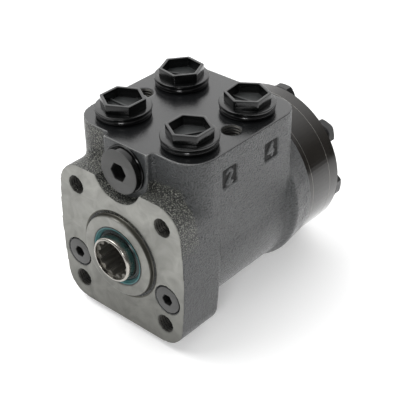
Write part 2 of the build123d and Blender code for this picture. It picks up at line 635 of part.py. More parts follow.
with BuildPart() as shaft_seal:
    seal_end = SHAFT_SEAL_Y + SHAFT_SEAL_WIDTH
    ring_along(SHAFT_SEAL_Y, seal_end, SHAFT_SEAL_R, SPOOL_NOSE_R + SEAL_BODY_GAP)
    lip_start = SHAFT_SEAL_Y + (SHAFT_SEAL_WIDTH - SEAL_LIP_WIDTH) / 2
    ring_along(lip_start, lip_start + SEAL_LIP_WIDTH, SHAFT_SEAL_R - 1, SPOOL_NOSE_R + SEAL_LIP_GAP)
finish(shaft_seal.part, "shaft_seal")

with BuildPart() as bearing_outer_race:
    ring_along(BEARING_Y, BEARING_Y + RACE_THICKNESS, RACE_R, RACE_BORE_R + 1)
finish(bearing_outer_race.part, "bearing_outer_race")

with BuildPart() as needle_cage:
    ring_along(NEEDLE_Y - CAGE_THICKNESS / 2, NEEDLE_Y + CAGE_THICKNESS / 2, CAGE_R, CAGE_BORE_R)
    with BuildSketch(across(NEEDLE_Y - CAGE_THICKNESS)) as pockets:
        with PolarLocations(NEEDLE_MIDDLE_R, NEEDLE_COUNT):
            Rectangle(NEEDLE_LENGTH + 2 * RUN, 2 * (NEEDLE_R + RUN))
    extrude(pockets.sketch, amount=-2 * CAGE_THICKNESS, mode=Mode.SUBTRACT)
finish(needle_cage.part, "needle_cage")

with BuildPart() as needle_rollers:
    for place in radial_places(NEEDLE_Y, NEEDLE_COUNT):
        with BuildSketch(Plane(place).offset(NEEDLE_MIDDLE_R - NEEDLE_LENGTH / 2)) as roller:
            Circle(NEEDLE_R)
        extrude(roller.sketch, amount=NEEDLE_LENGTH)
finish(needle_rollers.part, "needle_rollers")

with BuildPart() as bearing_inner_race:
    race_y = SLEEVE_Y - AXIAL_GAP - RACE_THICKNESS
    ring_along(race_y, race_y + RACE_THICKNESS, RACE_R, RACE_BORE_R)
finish(bearing_inner_race.part, "bearing_inner_race")

# ---------------------------------------------------------------- rotary valve
slot_middle_y = SPRING_SLOT_Y + SPRING_SLOT_LENGTH / 2
with BuildPart() as control_sleeve:
    ring_along(SLEEVE_Y, VALVE_END_Y, SLEEVE_R, SPOOL_R + RUN)
    # Rows of holes that meet the housing grooves, and the row that meters oil to the gear set
    hole_places = radial_places(METERING_Y, METERING_HOLES, VALVE_ROW_START)
    for groove_y in VALVE_GROOVE_Y:
        hole_places += radial_places(groove_y, VALVE_HOLES_PER_ROW, VALVE_ROW_START)
    for place in hole_places:
        hole_r = METERING_HOLE_R if place.position.Y == METERING_Y else VALVE_HOLE_R
        with BuildSketch(Plane(place)) as hole:
            Circle(hole_r)
        extrude(hole.sketch, amount=SLEEVE_R + 1, mode=Mode.SUBTRACT)
    # Cross pin hole and leaf spring slot run right through along X
    with BuildSketch(Plane.YZ.offset(-SLEEVE_R - 1)) as pin_and_slot:
        with Locations((PIN_Y, 0)):
            Circle(PIN_R + SLIP)
        with Locations((slot_middle_y, 0)):
            Rectangle(SPRING_SLOT_LENGTH, SPRING_SLOT_HEIGHT)
    extrude(pin_and_slot.sketch, amount=2 * SLEEVE_R + 2, mode=Mode.SUBTRACT)
finish(control_sleeve.part, "control_sleeve")

with BuildPart() as control_spool:
    round_along(SLEEVE_Y, VALVE_END_Y, SPOOL_R)
    round_along(-SPOOL_NOSE_OUT, SLEEVE_Y, SPOOL_NOSE_R)
    chamfer(control_spool.edges().filter_by(GeomType.CIRCLE).sort_by(Axis.Y)[0], NOSE_CHAMFER)
    round_along(SPOOL_BORE_Y, VALVE_END_Y, SPOOL_BORE_R, mode=Mode.SUBTRACT)
    mouth_end_y = NOSE_MOUTH_DEPTH - SPOOL_NOSE_OUT
    round_along(-SPOOL_NOSE_OUT, mouth_end_y, NOSE_MOUTH_R, mode=Mode.SUBTRACT)
    with BuildSketch(across(mouth_end_y)) as spline_hole:
        spline_spaces()
    extrude(spline_hole.sketch, amount=mouth_end_y - SPLINE_END_Y, mode=Mode.SUBTRACT)
    # Ring grooves and long slots that lead oil along the outside
    for ring_y in SPOOL_RING_Y:
        ring_end_y = ring_y + SPOOL_RING_WIDTH
        ring_along(ring_y, ring_end_y, SPOOL_R + 1, SPOOL_R - SPOOL_RING_DEPTH, mode=Mode.SUBTRACT)
    for place in radial_places(SPOOL_SLOT_Y, VALVE_HOLES_PER_ROW, VALVE_ROW_START):
        with BuildSketch(Plane(place).offset(SPOOL_R - SPOOL_RING_DEPTH)) as long_slot:
            SlotOverall(SPOOL_SLOT_LENGTH, SPOOL_SLOT_WIDTH)
        extrude(long_slot.sketch, amount=SPOOL_RING_DEPTH + 1, mode=Mode.SUBTRACT)
    # The pin passes with play, which sets how far the spool can turn in the sleeve
    with BuildSketch(Plane.YZ.offset(-SPOOL_R - 1)) as pin_and_slot:
        with Locations((PIN_Y, 0)):
            Circle(PIN_HOLE_IN_SPOOL_R)
        with Locations((slot_middle_y, 0)):
            Rectangle(SPRING_SLOT_LENGTH, SPRING_SLOT_HEIGHT)
    extrude(pin_and_slot.sketch, amount=2 * SPOOL_R + 2, mode=Mode.SUBTRACT)
finish(control_spool.part, "control_spool")

with BuildPart() as cross_pin:
    with BuildSketch(Plane.YZ.offset(-PIN_LENGTH / 2)) as pin_end:
        with Locations((PIN_Y, 0)):
            Circle(PIN_R)
    extrude(pin_end.sketch, amount=PIN_LENGTH)
    chamfer(cross_pin.edges().filter_by(GeomType.CIRCLE), PIN_CHAMFER)
finish(cross_pin.part, "cross_pin")

# Two packs of arched leaves stand back to back, and their ends press on the slot's walls
with BuildPart() as centering_springs:
    half_length = LEAF_LENGTH / 2
    for leaf in range(LEAVES_PER_SIDE):
        inner_z = SLIP + leaf * (LEAF_THICKNESS + SLIP)
        for up in (-1, 1):
            near, far = up * inner_z, up * (inner_z + LEAF_THICKNESS)
            lift = up * LEAF_ARCH
            with BuildSketch(across(SPRING_SLOT_Y + LEAF_SIDE_GAP)) as leaf_profile:
                with BuildLine():
                    ThreePointArc((-half_length, near + lift), (0, near), (half_length, near + lift))
                    Line((half_length, near + lift), (half_length, far + lift))
                    ThreePointArc((half_length, far + lift), (0, far), (-half_length, far + lift))
                    Line((-half_length, far + lift), (-half_length, near + lift))
                make_face()
            extrude(leaf_profile.sketch, amount=2 * LEAF_SIDE_GAP - SPRING_SLOT_LENGTH)
finish(centering_springs.part, "centering_springs")

# ---------------------------------------------------------------- drive shaft and gear set
# The drive shaft leans from the middle of the pin to the middle of the rotor
with BuildPart() as drive_shaft:
    reach = Vector(0, CROWN_Y - PIN_Y, ECCENTRICITY)
    crown_start = FORK_FRONT + reach.length - CROWN_WIDTH / 2
    fork_start = Plane(
        origin=Vector(0, PIN_Y, 0) - reach.normalized() * FORK_FRONT, x_dir=(1, 0, 0), z_dir=reach
    )
    with BuildSketch(fork_start) as fork_end:
        Circle(FORK_R)
    extrude(fork_end.sketch, amount=FORK_LENGTH)
    with BuildSketch(fork_start.offset(FORK_LENGTH)) as taper_start:
        Circle(FORK_R)
    with BuildSketch(fork_start.offset(FORK_LENGTH + FORK_TAPER_LENGTH)) as taper_end:
        Circle(SHAFT_R)
    loft(sections=[taper_start.sketch.face(), taper_end.sketch.face()])
    extrude(taper_end.sketch, amount=crown_start - FORK_LENGTH - FORK_TAPER_LENGTH)
    # Spline head, narrowed at both ends so that it can lean in the rotor
    with BuildSketch(fork_start.offset(crown_start + CROWN_END_WIDTH)) as crown_front:
        spline_spaces(CROWN_CLEARANCE)
    extrude(crown_front.sketch, amount=CROWN_WIDTH - 2 * CROWN_END_WIDTH)
    extrude(crown_front.sketch, amount=-CROWN_END_WIDTH, taper=CROWN_END_TAPER)
    with BuildSketch(fork_start.offset(crown_start + CROWN_WIDTH - CROWN_END_WIDTH)) as crown_back:
        spline_spaces(CROWN_CLEARANCE)
    extrude(crown_back.sketch, amount=CROWN_END_WIDTH, taper=CROWN_END_TAPER)
    # Open slot of the fork, which takes the cross pin
    slot_length = FORK_FRONT + PIN_R + FORK_SLOT_BEHIND_PIN
    with BuildSketch(fork_start) as fork_slot:
        Rectangle(2 * FORK_R + 2, 2 * (PIN_R + RUN))
    extrude(fork_slot.sketch, amount=slot_length, mode=Mode.SUBTRACT)
finish(drive_shaft.part, "drive_shaft")

feed_centres = [polar(FEED_CIRCLE_R, angle) for angle in FEED_ANGLES]
with BuildPart() as distributor_plate:
    ring_along(PLATE_Y, GEAR_Y, DRUM_R, PLATE_BORE_R)
    round_along(PLATE_Y, GEAR_Y, BOLT_HOLE_R, BOLT_CENTRES, Mode.SUBTRACT)
    round_along(PLATE_Y, GEAR_Y, FEED_HOLE_R, feed_centres, Mode.SUBTRACT)
    oring_groove(GEAR_Y - ORING_GROOVE_DEPTH)
finish(distributor_plate.part, "distributor_plate")

with BuildPart() as gear_ring:
    ring_along(GEAR_Y, COVER_Y, DRUM_R, POCKET_R)
    lobe_centres = [polar(LOBE_CIRCLE_R, angle) for angle in BOLT_ANGLES]
    round_along(GEAR_Y, COVER_Y, LOBE_R, lobe_centres)
    round_along(GEAR_Y, COVER_Y, BOLT_HOLE_R, BOLT_CENTRES, Mode.SUBTRACT)
    oring_groove(COVER_Y - ORING_GROOVE_DEPTH)
finish(gear_ring.part, "gear_ring")

with BuildPart() as gear_rotor:
    with BuildSketch(across(GEAR_Y + AXIAL_GAP)) as rotor_profile:
        with BuildLine():
            Spline(*[rotor_point(2 * pi * i / ROTOR_POINTS) for i in range(ROTOR_POINTS)], periodic=True)
        make_face()
    extrude(rotor_profile.sketch, amount=2 * AXIAL_GAP - GEAR_WIDTH)
    with BuildSketch(across(GEAR_Y, ECCENTRICITY)) as rotor_hole:
        spline_spaces()
    extrude(rotor_hole.sketch, amount=-GEAR_WIDTH, mode=Mode.SUBTRACT)
finish(gear_rotor.part, "gear_rotor")

# Loose disc in the rotor that keeps the drive shaft in place
with BuildPart() as spacer_disc:
    disc_y = COVER_Y - 2 * AXIAL_GAP - SPACER_THICKNESS
    round_along(disc_y, disc_y + SPACER_THICKNESS, SPACER_R, [(0, ECCENTRICITY)])
finish(spacer_disc.part, "spacer_disc")

with BuildPart() as end_cover:
    round_along(COVER_Y, COVER_END_Y, DRUM_R)
    chamfer(end_cover.edges().sort_by(Axis.Y)[-1], COVER_CHAMFER)
    round_along(COVER_Y, COVER_END_Y, BOLT_HOLE_R, BOLT_CENTRES, Mode.SUBTRACT)
finish(end_cover.part, "end_cover")

# ---------------------------------------------------------------- cover bolts, washers and O-rings
head_y = COVER_END_Y + WASHER_THICKNESS
with BuildPart() as cover_bolts:
    round_along(HOUSING_LENGTH - BOLT_ENGAGEMENT, head_y, BOLT_R, BOLT_CENTRES)
    with BuildSketch(across(head_y)) as bolt_heads:
        with Locations(*BOLT_CENTRES):
            RegularPolygon(BOLT_HEAD_FLATS / 2, 6, major_radius=False)
    extrude(bolt_heads.sketch, amount=-BOLT_HEAD_HEIGHT)
finish(cover_bolts.part, "cover_bolts")

with BuildPart() as bolt_washers:
    round_along(COVER_END_Y, head_y, WASHER_R, BOLT_CENTRES)
    round_along(COVER_END_Y, head_y, BOLT_HOLE_R, BOLT_CENTRES, Mode.SUBTRACT)
finish(bolt_washers.part, "bolt_washers")

for joint_y, seal_name in ((HOUSING_LENGTH, "plate_seal"), (GEAR_Y, "ring_seal"), (COVER_Y, "cover_seal")):
    with BuildPart() as face_seal:
        seal_outer_r = ORING_CIRCLE_R + ORING_GROOVE_WIDTH / 2 - SLIP
        seal_inner_r = ORING_CIRCLE_R - ORING_GROOVE_WIDTH / 2 + SLIP
        ring_along(joint_y - ORING_GROOVE_DEPTH + SLIP, joint_y - SLIP, seal_outer_r, seal_inner_r)
        fillet(face_seal.edges().filter_by(GeomType.CIRCLE), ORING_ROUND)
    finish(face_seal.part, seal_name)

# ---------------------------------------------------------------- check valve
with BuildPart() as check_bush:
    check_x, check_y = PLUGS[CHECK_PORT - 1][1:3]
    bush_top_z = PORT_FACE_Z - PORT_DEPTH
    round_down(check_x, check_y, bush_top_z, CHECK_BUSH_LENGTH, CHECK_BORE_R - SLIP, Mode.ADD)
    round_down(check_x, check_y, bush_top_z, CHECK_BUSH_LENGTH, CHECK_BUSH_HOLE_R)
finish(check_bush.part, "check_bush")

with BuildPart() as check_ball:
    with Locations((check_x, check_y, CHECK_BALL_Z)):
        Sphere(CHECK_BALL_R)
finish(check_ball.part, "check_ball")

# ---------------------------------------------------------------- relief valve
relief_centre = [(0, VALVE_Z)]
with BuildPart() as relief_plug:
    plug_start_y = BOSS_FRONT_Y - RELIEF_SEAL_THICKNESS - RELIEF_HEAD_THICKNESS
    round_along(plug_start_y, plug_start_y + RELIEF_HEAD_THICKNESS, RELIEF_HEAD_R, relief_centre)
    chamfer(relief_plug.edges().sort_by(Axis.Y)[0], RELIEF_HEAD_CHAMFER)
    round_along(plug_start_y + RELIEF_HEAD_THICKNESS, RELIEF_THREAD_END_Y, RELIEF_THREAD_R, relief_centre)
    with BuildSketch(across(plug_start_y, VALVE_Z)) as relief_key:
        RegularPolygon(RELIEF_KEY_FLATS / 2, 6, major_radius=False)
    extrude(relief_key.sketch, amount=-RELIEF_KEY_DEPTH, mode=Mode.SUBTRACT)
finish(relief_plug.part, "relief_plug")

with BuildPart() as relief_plug_seal:
    washer_y = BOSS_FRONT_Y - RELIEF_SEAL_THICKNESS
    ring_along(washer_y, BOSS_FRONT_Y, RELIEF_SEAL_R, RELIEF_THREAD_R + BOLT_PLAY, (0, VALVE_Z))
finish(relief_plug_seal.part, "relief_plug_seal")

with BuildPart() as relief_adjuster:
    round_along(ADJUSTER_Y, ADJUSTER_Y + ADJUSTER_LENGTH, RELIEF_BORE_R - SLIP, relief_centre)
    with BuildSketch(across(ADJUSTER_Y, VALVE_Z)) as adjuster_key:
        RegularPolygon(ADJUSTER_KEY_FLATS / 2, 6, major_radius=False)
    extrude(adjuster_key.sketch, amount=-ADJUSTER_KEY_DEPTH, mode=Mode.SUBTRACT)
finish(relief_adjuster.part, "relief_adjuster")

with BuildPart() as relief_spring:
    coil(RELIEF_SPRING_R, RELIEF_WIRE_R, RELIEF_SPRING_LENGTH, RELIEF_TURNS, RELIEF_SPRING_Y, (0, VALVE_Z))
finish(relief_spring.part, "relief_spring")

with BuildPart() as relief_poppet:
    round_along(POPPET_Y, POPPET_Y + POPPET_FLANGE_THICKNESS, POPPET_FLANGE_R, relief_centre)
    round_along(POPPET_Y - POPPET_GUIDE_LENGTH, POPPET_Y, POPPET_GUIDE_R, relief_centre)
    cone_y = POPPET_Y + POPPET_FLANGE_THICKNESS
    cone_base_r = 2 * (SEAT_HOLE_R - SLIP) - POPPET_TIP_R
    with Locations(across(cone_y + POPPET_CONE_LENGTH / 2, VALVE_Z).location):
        Cone(POPPET_TIP_R, cone_base_r, POPPET_CONE_LENGTH)
finish(relief_poppet.part, "relief_poppet")

with BuildPart() as relief_seat:
    ring_along(RELIEF_SEAT_Y, RELIEF_BORE_END_Y, RELIEF_BORE_R - SLIP, SEAT_HOLE_R, (0, VALVE_Z))
finish(relief_seat.part, "relief_seat")

# ---------------------------------------------------------------- shock and suction valves
for side, side_name in ((-1, "left"), (1, "right")):
    shock_centre = [(side * SHOCK_X, SHOCK_Z)]
    with BuildPart() as shock_plug:
        round_along(SHOCK_PLUG_SUNK, SHOCK_PLUG_SUNK + SHOCK_PLUG_LENGTH, SHOCK_PLUG_R, shock_centre)
        with BuildSketch(across(SHOCK_PLUG_SUNK)) as shock_key:
            with Locations(*shock_centre):
                RegularPolygon(SHOCK_KEY_FLATS / 2, 6, major_radius=False)
        extrude(shock_key.sketch, amount=-SHOCK_KEY_DEPTH, mode=Mode.SUBTRACT)
    finish(shock_plug.part, f"shock_plug_{side_name}")

    with BuildPart() as shock_spring:
        coil(SHOCK_SPRING_R, SHOCK_WIRE_R, SHOCK_SPRING_LENGTH, SHOCK_TURNS, SHOCK_SPRING_Y, *shock_centre)
    finish(shock_spring.part, f"shock_spring_{side_name}")

    with BuildPart() as shock_ball:
        with Locations((side * SHOCK_X, SHOCK_BALL_Y, SHOCK_Z)):
            Sphere(SHOCK_BALL_R)
    finish(shock_ball.part, f"shock_ball_{side_name}")

for (suction_x, suction_z), side_name in zip(SUCTION_CENTRES, ("left", "right")):
    with BuildPart() as suction_ball:
        with Locations((suction_x, SUCTION_BALL_Y, suction_z)):
            Sphere(SUCTION_BALL_R)
    finish(suction_ball.part, f"suction_ball_{side_name}")

    # Spring pin with a slit, pressed in behind the ball to limit its lift
    with BuildPart() as suction_pin:
        pin_end_y = HOUSING_LENGTH - SUCTION_PIN_SUNK
        pin_outer_r = SUCTION_BORE_R - SLIP
        pin_start_y = pin_end_y - SUCTION_PIN_LENGTH
        pin_inner_r = pin_outer_r - SUCTION_PIN_WALL
        ring_along(pin_start_y, pin_end_y, pin_outer_r, pin_inner_r, (suction_x, suction_z))
        with BuildSketch(across(pin_end_y)) as slit:
            with Locations((suction_x, suction_z + pin_outer_r)):
                Rectangle(SUCTION_PIN_SLIT, 2 * pin_outer_r)
        extrude(slit.sketch, amount=SUCTION_PIN_LENGTH, mode=Mode.SUBTRACT)
    finish(suction_pin.part, f"suction_pin_{side_name}")

# ---------------------------------------------------------------- transport plugs and their O-rings
for number, x, y, turn in PLUGS:
    with BuildPart() as transport_plug:
        floor_z = PLUG_DISC_Z + PLUG_FLOOR
        disc_top_z = PLUG_DISC_Z + PLUG_DISC_THICKNESS
        stem_end_z = PORT_FACE_Z - PLUG_STEM_LENGTH
        round_down(x, y, disc_top_z, PLUG_DISC_THICKNESS, PLUG_DISC_R, Mode.ADD)
        round_down(x, y, PLUG_DISC_Z, PLUG_DISC_Z - stem_end_z, PLUG_STEM_R, Mode.ADD)
        round_down(x, y, PLUG_DISC_Z, PLUG_DISC_Z - stem_end_z, PLUG_STEM_R - PLUG_STEM_WALL)
        with BuildSketch(Plane.XY.offset(floor_z)) as hexagon:
            with Locations(Location((x, y), turn + 30)):
                RegularPolygon(PLUG_FLATS / 2, 6, major_radius=False)
        extrude(hexagon.sketch, amount=disc_top_z + PLUG_HEX_HEIGHT - floor_z)
        with BuildSketch(Plane.XY.offset(floor_z)) as cup:
            with Locations(Location((x, y), turn + 30)):
                RegularPolygon(PLUG_FLATS / 2 - PLUG_WALL, 6, major_radius=False)
        extrude(cup.sketch, amount=disc_top_z + PLUG_HEX_HEIGHT - floor_z, mode=Mode.SUBTRACT)
        with BuildSketch(Plane.XY.offset(floor_z)) as rib:
            with Locations(Location((x, y), turn)):
                Rectangle(PLUG_FLATS - PLUG_WALL, PLUG_RIB_WIDTH)
        extrude(rib.sketch, amount=PLUG_RIB_HEIGHT)
    finish(transport_plug.part, f"transport_plug_{number}")

    with BuildPart() as port_seal:
        with BuildSketch(Plane.XY.offset(PORT_FACE_Z)) as seal_ring:
            with Locations((x, y)):
                Circle(PLUG_SEAL_R)
                Circle(PLUG_STEM_R + PLUG_SEAL_PLAY, mode=Mode.SUBTRACT)
        extrude(seal_ring.sketch, amount=PLUG_SEAL_HEIGHT)
        fillet(port_seal.edges().filter_by(GeomType.CIRCLE), PLUG_SEAL_ROUND)
    finish(port_seal.part, f"port_seal_{number}")
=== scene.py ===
"""Orbital hydraulic steering unit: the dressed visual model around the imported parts.

Every size below is in millimetres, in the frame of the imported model: the shaft runs along +Y,
the ports open along +Z, and the origin lies on the shaft axis in the column face.
"""

from dataclasses import dataclass, field
from enum import Enum
from functools import partial
import logging
import math
from typing import Callable, Sequence

import bmesh
import bpy
import numpy as np
from mathutils import Matrix, Vector, noise
from mathutils.geometry import tessellate_polygon


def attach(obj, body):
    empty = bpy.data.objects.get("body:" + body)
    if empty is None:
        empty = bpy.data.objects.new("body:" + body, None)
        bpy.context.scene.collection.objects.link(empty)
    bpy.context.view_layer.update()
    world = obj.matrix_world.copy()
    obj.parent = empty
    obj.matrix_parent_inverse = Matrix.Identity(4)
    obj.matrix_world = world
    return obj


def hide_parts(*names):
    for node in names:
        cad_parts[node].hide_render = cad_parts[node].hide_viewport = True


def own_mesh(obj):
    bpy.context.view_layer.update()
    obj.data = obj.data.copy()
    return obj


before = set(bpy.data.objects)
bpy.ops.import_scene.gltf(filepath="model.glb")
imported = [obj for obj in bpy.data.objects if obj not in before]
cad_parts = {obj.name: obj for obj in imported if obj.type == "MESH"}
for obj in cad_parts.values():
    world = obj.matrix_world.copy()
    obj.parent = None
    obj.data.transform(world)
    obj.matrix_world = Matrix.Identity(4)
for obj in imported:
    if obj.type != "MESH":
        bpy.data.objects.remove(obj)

LOG = logging.getLogger("steering_unit")
MM = 0.001
SMOOTH_ANGLE = math.radians(28)
# Steps of a rounded rim from a face to a wall: how far in, and how far along, as shares of the rounding
QUARTER_ROUND = ((1.0, 0.0), (0.5, 0.13), (0.13, 0.5), (0.0, 1.0))

Point = tuple[float, float]
Colour = tuple[float, float, float, float]
Material = bpy.types.Material
Socket = bpy.types.NodeSocket
AddNode = Callable[..., Socket]


class Direction(Enum):
    """Which way the length of a turned or extruded shape runs."""

    SHAFT = "along the shaft, +Y"
    UP = "out of the port face, +Z"


# ---------------------------------------------------------------- outlines and meshes


def spun(point: Sequence[float], turn: float, centre: Sequence[float] = (0.0, 0.0)) -> Point:
    """Turn a point round the origin, then move it to a centre.

    Args:
        point: the point.
        turn: angle in degrees.
        centre: where the origin goes.

    Returns:
        The moved point.
    """
    cos, sin = math.cos(math.radians(turn)), math.sin(math.radians(turn))
    return (centre[0] + point[0] * cos - point[1] * sin, centre[1] + point[0] * sin + point[1] * cos)


def circle(radius: float, centre: Point = (0.0, 0.0), count: int = 64) -> list[Point]:
    """Points round a circle.

    Args:
        radius: radius in millimetres.
        centre: middle of the circle.
        count: number of points.

    Returns:
        The points, counter-clockwise.
    """
    return [spun((radius, 0), 360 * i / count, centre) for i in range(count)]


def rounded(corners: Sequence[tuple[float, float, float]], steps: int = 4) -> list[Point]:
    """Closed outline with rounded corners.

    Args:
        corners: x, y and rounding radius of each corner.
        steps: segments in each rounding.

    Returns:
        The points of the outline in the order of the corners.
    """
    outline: list[Point] = []
    count = len(corners)
    for i, (x, y, radius) in enumerate(corners):
        corner = Vector((x, y))
        if radius <= 0:
            outline.append((x, y))
            continue
        back = (Vector(corners[i - 1][:2]) - corner).normalized()
        ahead = (Vector(corners[(i + 1) % count][:2]) - corner).normalized()
        half = math.acos(max(-1.0, min(1.0, back.dot(ahead)))) / 2
        centre = corner + (back + ahead).normalized() * (radius / math.sin(half))
        start = corner + back * (radius / math.tan(half)) - centre
        end = corner + ahead * (radius / math.tan(half)) - centre
        sweep = -math.degrees(start.angle_signed(end))
        outline.extend(spun(start, sweep * j / steps, centre) for j in range(steps + 1))
    return outline


def hexagon(flats: float, centre: Point, turn: float = 0.0, rounding: float = 0.0) -> list[Point]:
    """Hexagon given by its width across flats.

    Args:
        flats: width across flats.
        centre: middle of the hexagon.
        turn: direction of one of its corners, in degrees.
        rounding: radius of its corners.

    Returns:
        The points, counter-clockwise.
    """
    reach = flats / 2 / math.cos(math.pi / 6)
    return rounded([(*spun((reach, 0), turn + 60 * i, centre), rounding) for i in range(6)], 3)


def inset(outline: Sequence[Point], distance: float) -> list[Point]:
    """Outline moved to its left by a distance, which is inwards when it runs counter-clockwise.

    Args:
        outline: closed outline.
        distance: how far each side moves.

    Returns:
        As many points as the outline has.
    """
    moved: list[Point] = []
    count = len(outline)
    for i in range(count):
        before = Vector(outline[i - 1])
        here = Vector(outline[i])
        after = Vector(outline[(i + 1) % count])
        normals = []
        for start, end in ((before, here), (here, after)):
            side = (end - start).normalized()
            normals.append(Vector((-side.y, side.x)))
        middle = (normals[0] + normals[1]).normalized()
        stretch = max(0.5, middle.dot(normals[0]))
        moved.append(tuple(here + middle * (distance / stretch)))
    return moved


@dataclass
class Draft:
    """Vertices, faces and finish numbers of one piece, in millimetres, before it is a mesh."""

    direction: Direction = Direction.SHAFT
    verts: list[tuple[float, float, float]] = field(default_factory=list)
    faces: list[tuple[int, ...]] = field(default_factory=list)
    finishes: list[int] = field(default_factory=list)

    def ring(self, outline: Sequence[Point], along: float) -> list[int]:
        """Add one closed ring of vertices.

        Args:
            outline: points across the length.
            along: place along the length.

        Returns:
            The numbers of the new vertices.
        """
        first = len(self.verts)
        for x, y in outline:
            self.verts.append((x, along, y) if self.direction is Direction.SHAFT else (x, y, along))
        return list(range(first, len(self.verts)))

    def face(self, corners: Sequence[int], finish: int = 0) -> None:
        """Add one face with the number of its finish."""
        self.faces.append(tuple(corners))
        self.finishes.append(finish)

    def skin(self, rings: Sequence[Sequence[int]], finish: int = 0) -> None:
        """Join rings of equal length by quads.

        Args:
            rings: vertex numbers of each ring, in order.
            finish: number of the finish.
        """
        for low, high in zip(rings, rings[1:]):
            count = len(low)
            for i in range(count):
                j = (i + 1) % count
                self.face((low[i], low[j], high[j], high[i]), finish)

    def turned(
        self,
        profile: Sequence[Point],
        centre: Point = (0.0, 0.0),
        count: int = 96,
        finish: int = 0,
    ) -> None:
        """Add a solid turned from a closed profile.

        Args:
            profile: radius and place along the length of each point; a radius of 0 is a pole.
            centre: where the turning axis passes.
            count: segments round the axis.
            finish: number of the finish.
        """
        rings: list[list[int]] = []
        for radius, along in profile:
            if radius > 1e-6:
                rings.append(self.ring(circle(radius, centre, count), along))
            else:
                rings.append(self.ring([centre], along))
        for low, high in zip(rings, rings[1:] + rings[:1]):
            if len(low) == 1 and len(high) == 1:
                continue
            for i in range(count):
                j = (i + 1) % count
                if len(low) == 1:
                    self.face((low[0], high[j], high[i]), finish)
                elif len(high) == 1:
                    self.face((low[i], low[j], high[0]), finish)
                else:
                    self.face((low[i], low[j], high[j], high[i]), finish)

    def slab(
        self,
        outer: Sequence[Point],
        holes: Sequence[Sequence[Point]],
        start: float,
        end: float,
        outer_round: float = 0.2,
        hole_round: float = 0.2,
        finish: int = 0,
        hole_finish: int | None = None,
    ) -> None:
        """Add a flat piece with holes and rounded rims.

        Args:
            outer: outer outline, counter-clockwise.
            holes: outlines of the holes, counter-clockwise.
            start: place of one face along the length.
            end: place of the other face.
            outer_round: rounding of the outer rims.
            hole_round: rounding of the rims of the holes.
            finish: number of the finish.
            hole_finish: number of the finish inside the holes, or None for the same one.
        """
        caps: tuple[list[list[int]], list[list[int]]] = ([], [])
        inside = finish if hole_finish is None else hole_finish
        outlines = [(outer, outer_round, 1.0, finish)] + [(hole, hole_round, -1.0, inside) for hole in holes]
        for outline, rounding, side, wall_finish in outlines:
            rings = [
                self.ring(inset(outline, side * sink * rounding), start + lift * rounding)
                for sink, lift in QUARTER_ROUND
            ]
            rings += [
                self.ring(inset(outline, side * sink * rounding), end - lift * rounding)
                for sink, lift in reversed(QUARTER_ROUND)
            ]
            self.skin(rings, wall_finish)
            caps[0].append(rings[0])
            caps[1].append(rings[-1])
        for loops in caps:
            numbers = [number for loop in loops for number in loop]
            flat = [[Vector(self.verts[number]) for number in loop] for loop in loops]
            for triangle in tessellate_polygon(flat):
                self.face([numbers[corner] for corner in triangle], finish)

    def piece(self, name: str, materials: Sequence[bpy.types.Material], body: str) -> bpy.types.Object:
        """Turn the draft into a smooth-shaded piece that rides on a body.

        Args:
            name: name of the piece.
            materials: one for each finish number.
            body: body that carries the piece.

        Returns:
            The new object.
        """
        mesh = bpy.data.meshes.new(name)
        mesh.from_pydata([tuple(c * MM for c in v) for v in self.verts], [], self.faces)
        for material in materials:
            mesh.materials.append(material)
        mesh.polygons.foreach_set("material_index", self.finishes)
        shell = bmesh.new()
        shell.from_mesh(mesh)
        bmesh.ops.dissolve_degenerate(shell, dist=1e-7, edges=shell.edges)
        bmesh.ops.recalc_face_normals(shell, faces=shell.faces)
        shell.to_mesh(mesh)
        shell.free()
        return add_piece(name, mesh, body)


def add_piece(name: str, mesh: bpy.types.Mesh, body: str) -> bpy.types.Object:
    """Link a mesh as a piece that rides on a body, shaded smooth up to a set angle.

    Args:
        name: name of the piece.
        mesh: its mesh, in metres.
        body: body that carries it.

    Returns:
        The new object.
    """
    mesh.polygons.foreach_set("use_smooth", [True] * len(mesh.polygons))
    mesh.set_sharp_from_angle(angle=SMOOTH_ANGLE)
    piece = bpy.data.objects.new(name, mesh)
    bpy.context.scene.collection.objects.link(piece)
    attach(piece, body)
    LOG.info("piece %s: %d faces on %s", name, len(mesh.polygons), body)
    return piece


def packed_mesh(node: str, materials: Sequence[Material]) -> bpy.types.Mesh:
    """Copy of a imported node's mesh, in other materials.

    Args:
        node: name of the node.
        materials: what takes the place of its materials.

    Returns:
        The copy, in metres.
    """
    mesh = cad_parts[node].data.copy()
    mesh.materials.clear()
    for material in materials:
        mesh.materials.append(material)
    return mesh


def ridge(root: float, tip: float, start: float, pitch: float) -> list[Point]:
    """Closed profile of one thread ridge, a trapezium that stands on the root.

    Args:
        root: radius at the root.
        tip: radius at the tip.
        start: where the ridge starts along the length.
        pitch: length of one turn, with the sign of the way it runs.

    Returns:
        The profile.
    """
    return [
        (root - 0.1 * (tip - root), start + 0.04 * pitch),
        (tip, start + 0.42 * pitch),
        (tip, start + 0.58 * pitch),
        (root - 0.1 * (tip - root), start + 0.96 * pitch),
    ]


def stand_for(piece: bpy.types.Object, nodes: Sequence[str]) -> None:
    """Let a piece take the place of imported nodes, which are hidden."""
    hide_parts(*nodes)


# ---------------------------------------------------------------- finishes


def linear(code: str) -> Colour:
    """Turn an sRGB colour into a linear one.

    Args:
        code: hex code such as #7f8081.

    Returns:
        The linear colour, with alpha.
    """
    channels = [int(code[i:i + 2], 16) / 255 for i in (1, 3, 5)]
    red, green, blue = (c / 12.92 if c <= 0.04045 else ((c + 0.055) / 1.055) ** 2.4 for c in channels)
    return (red, green, blue, 1.0)


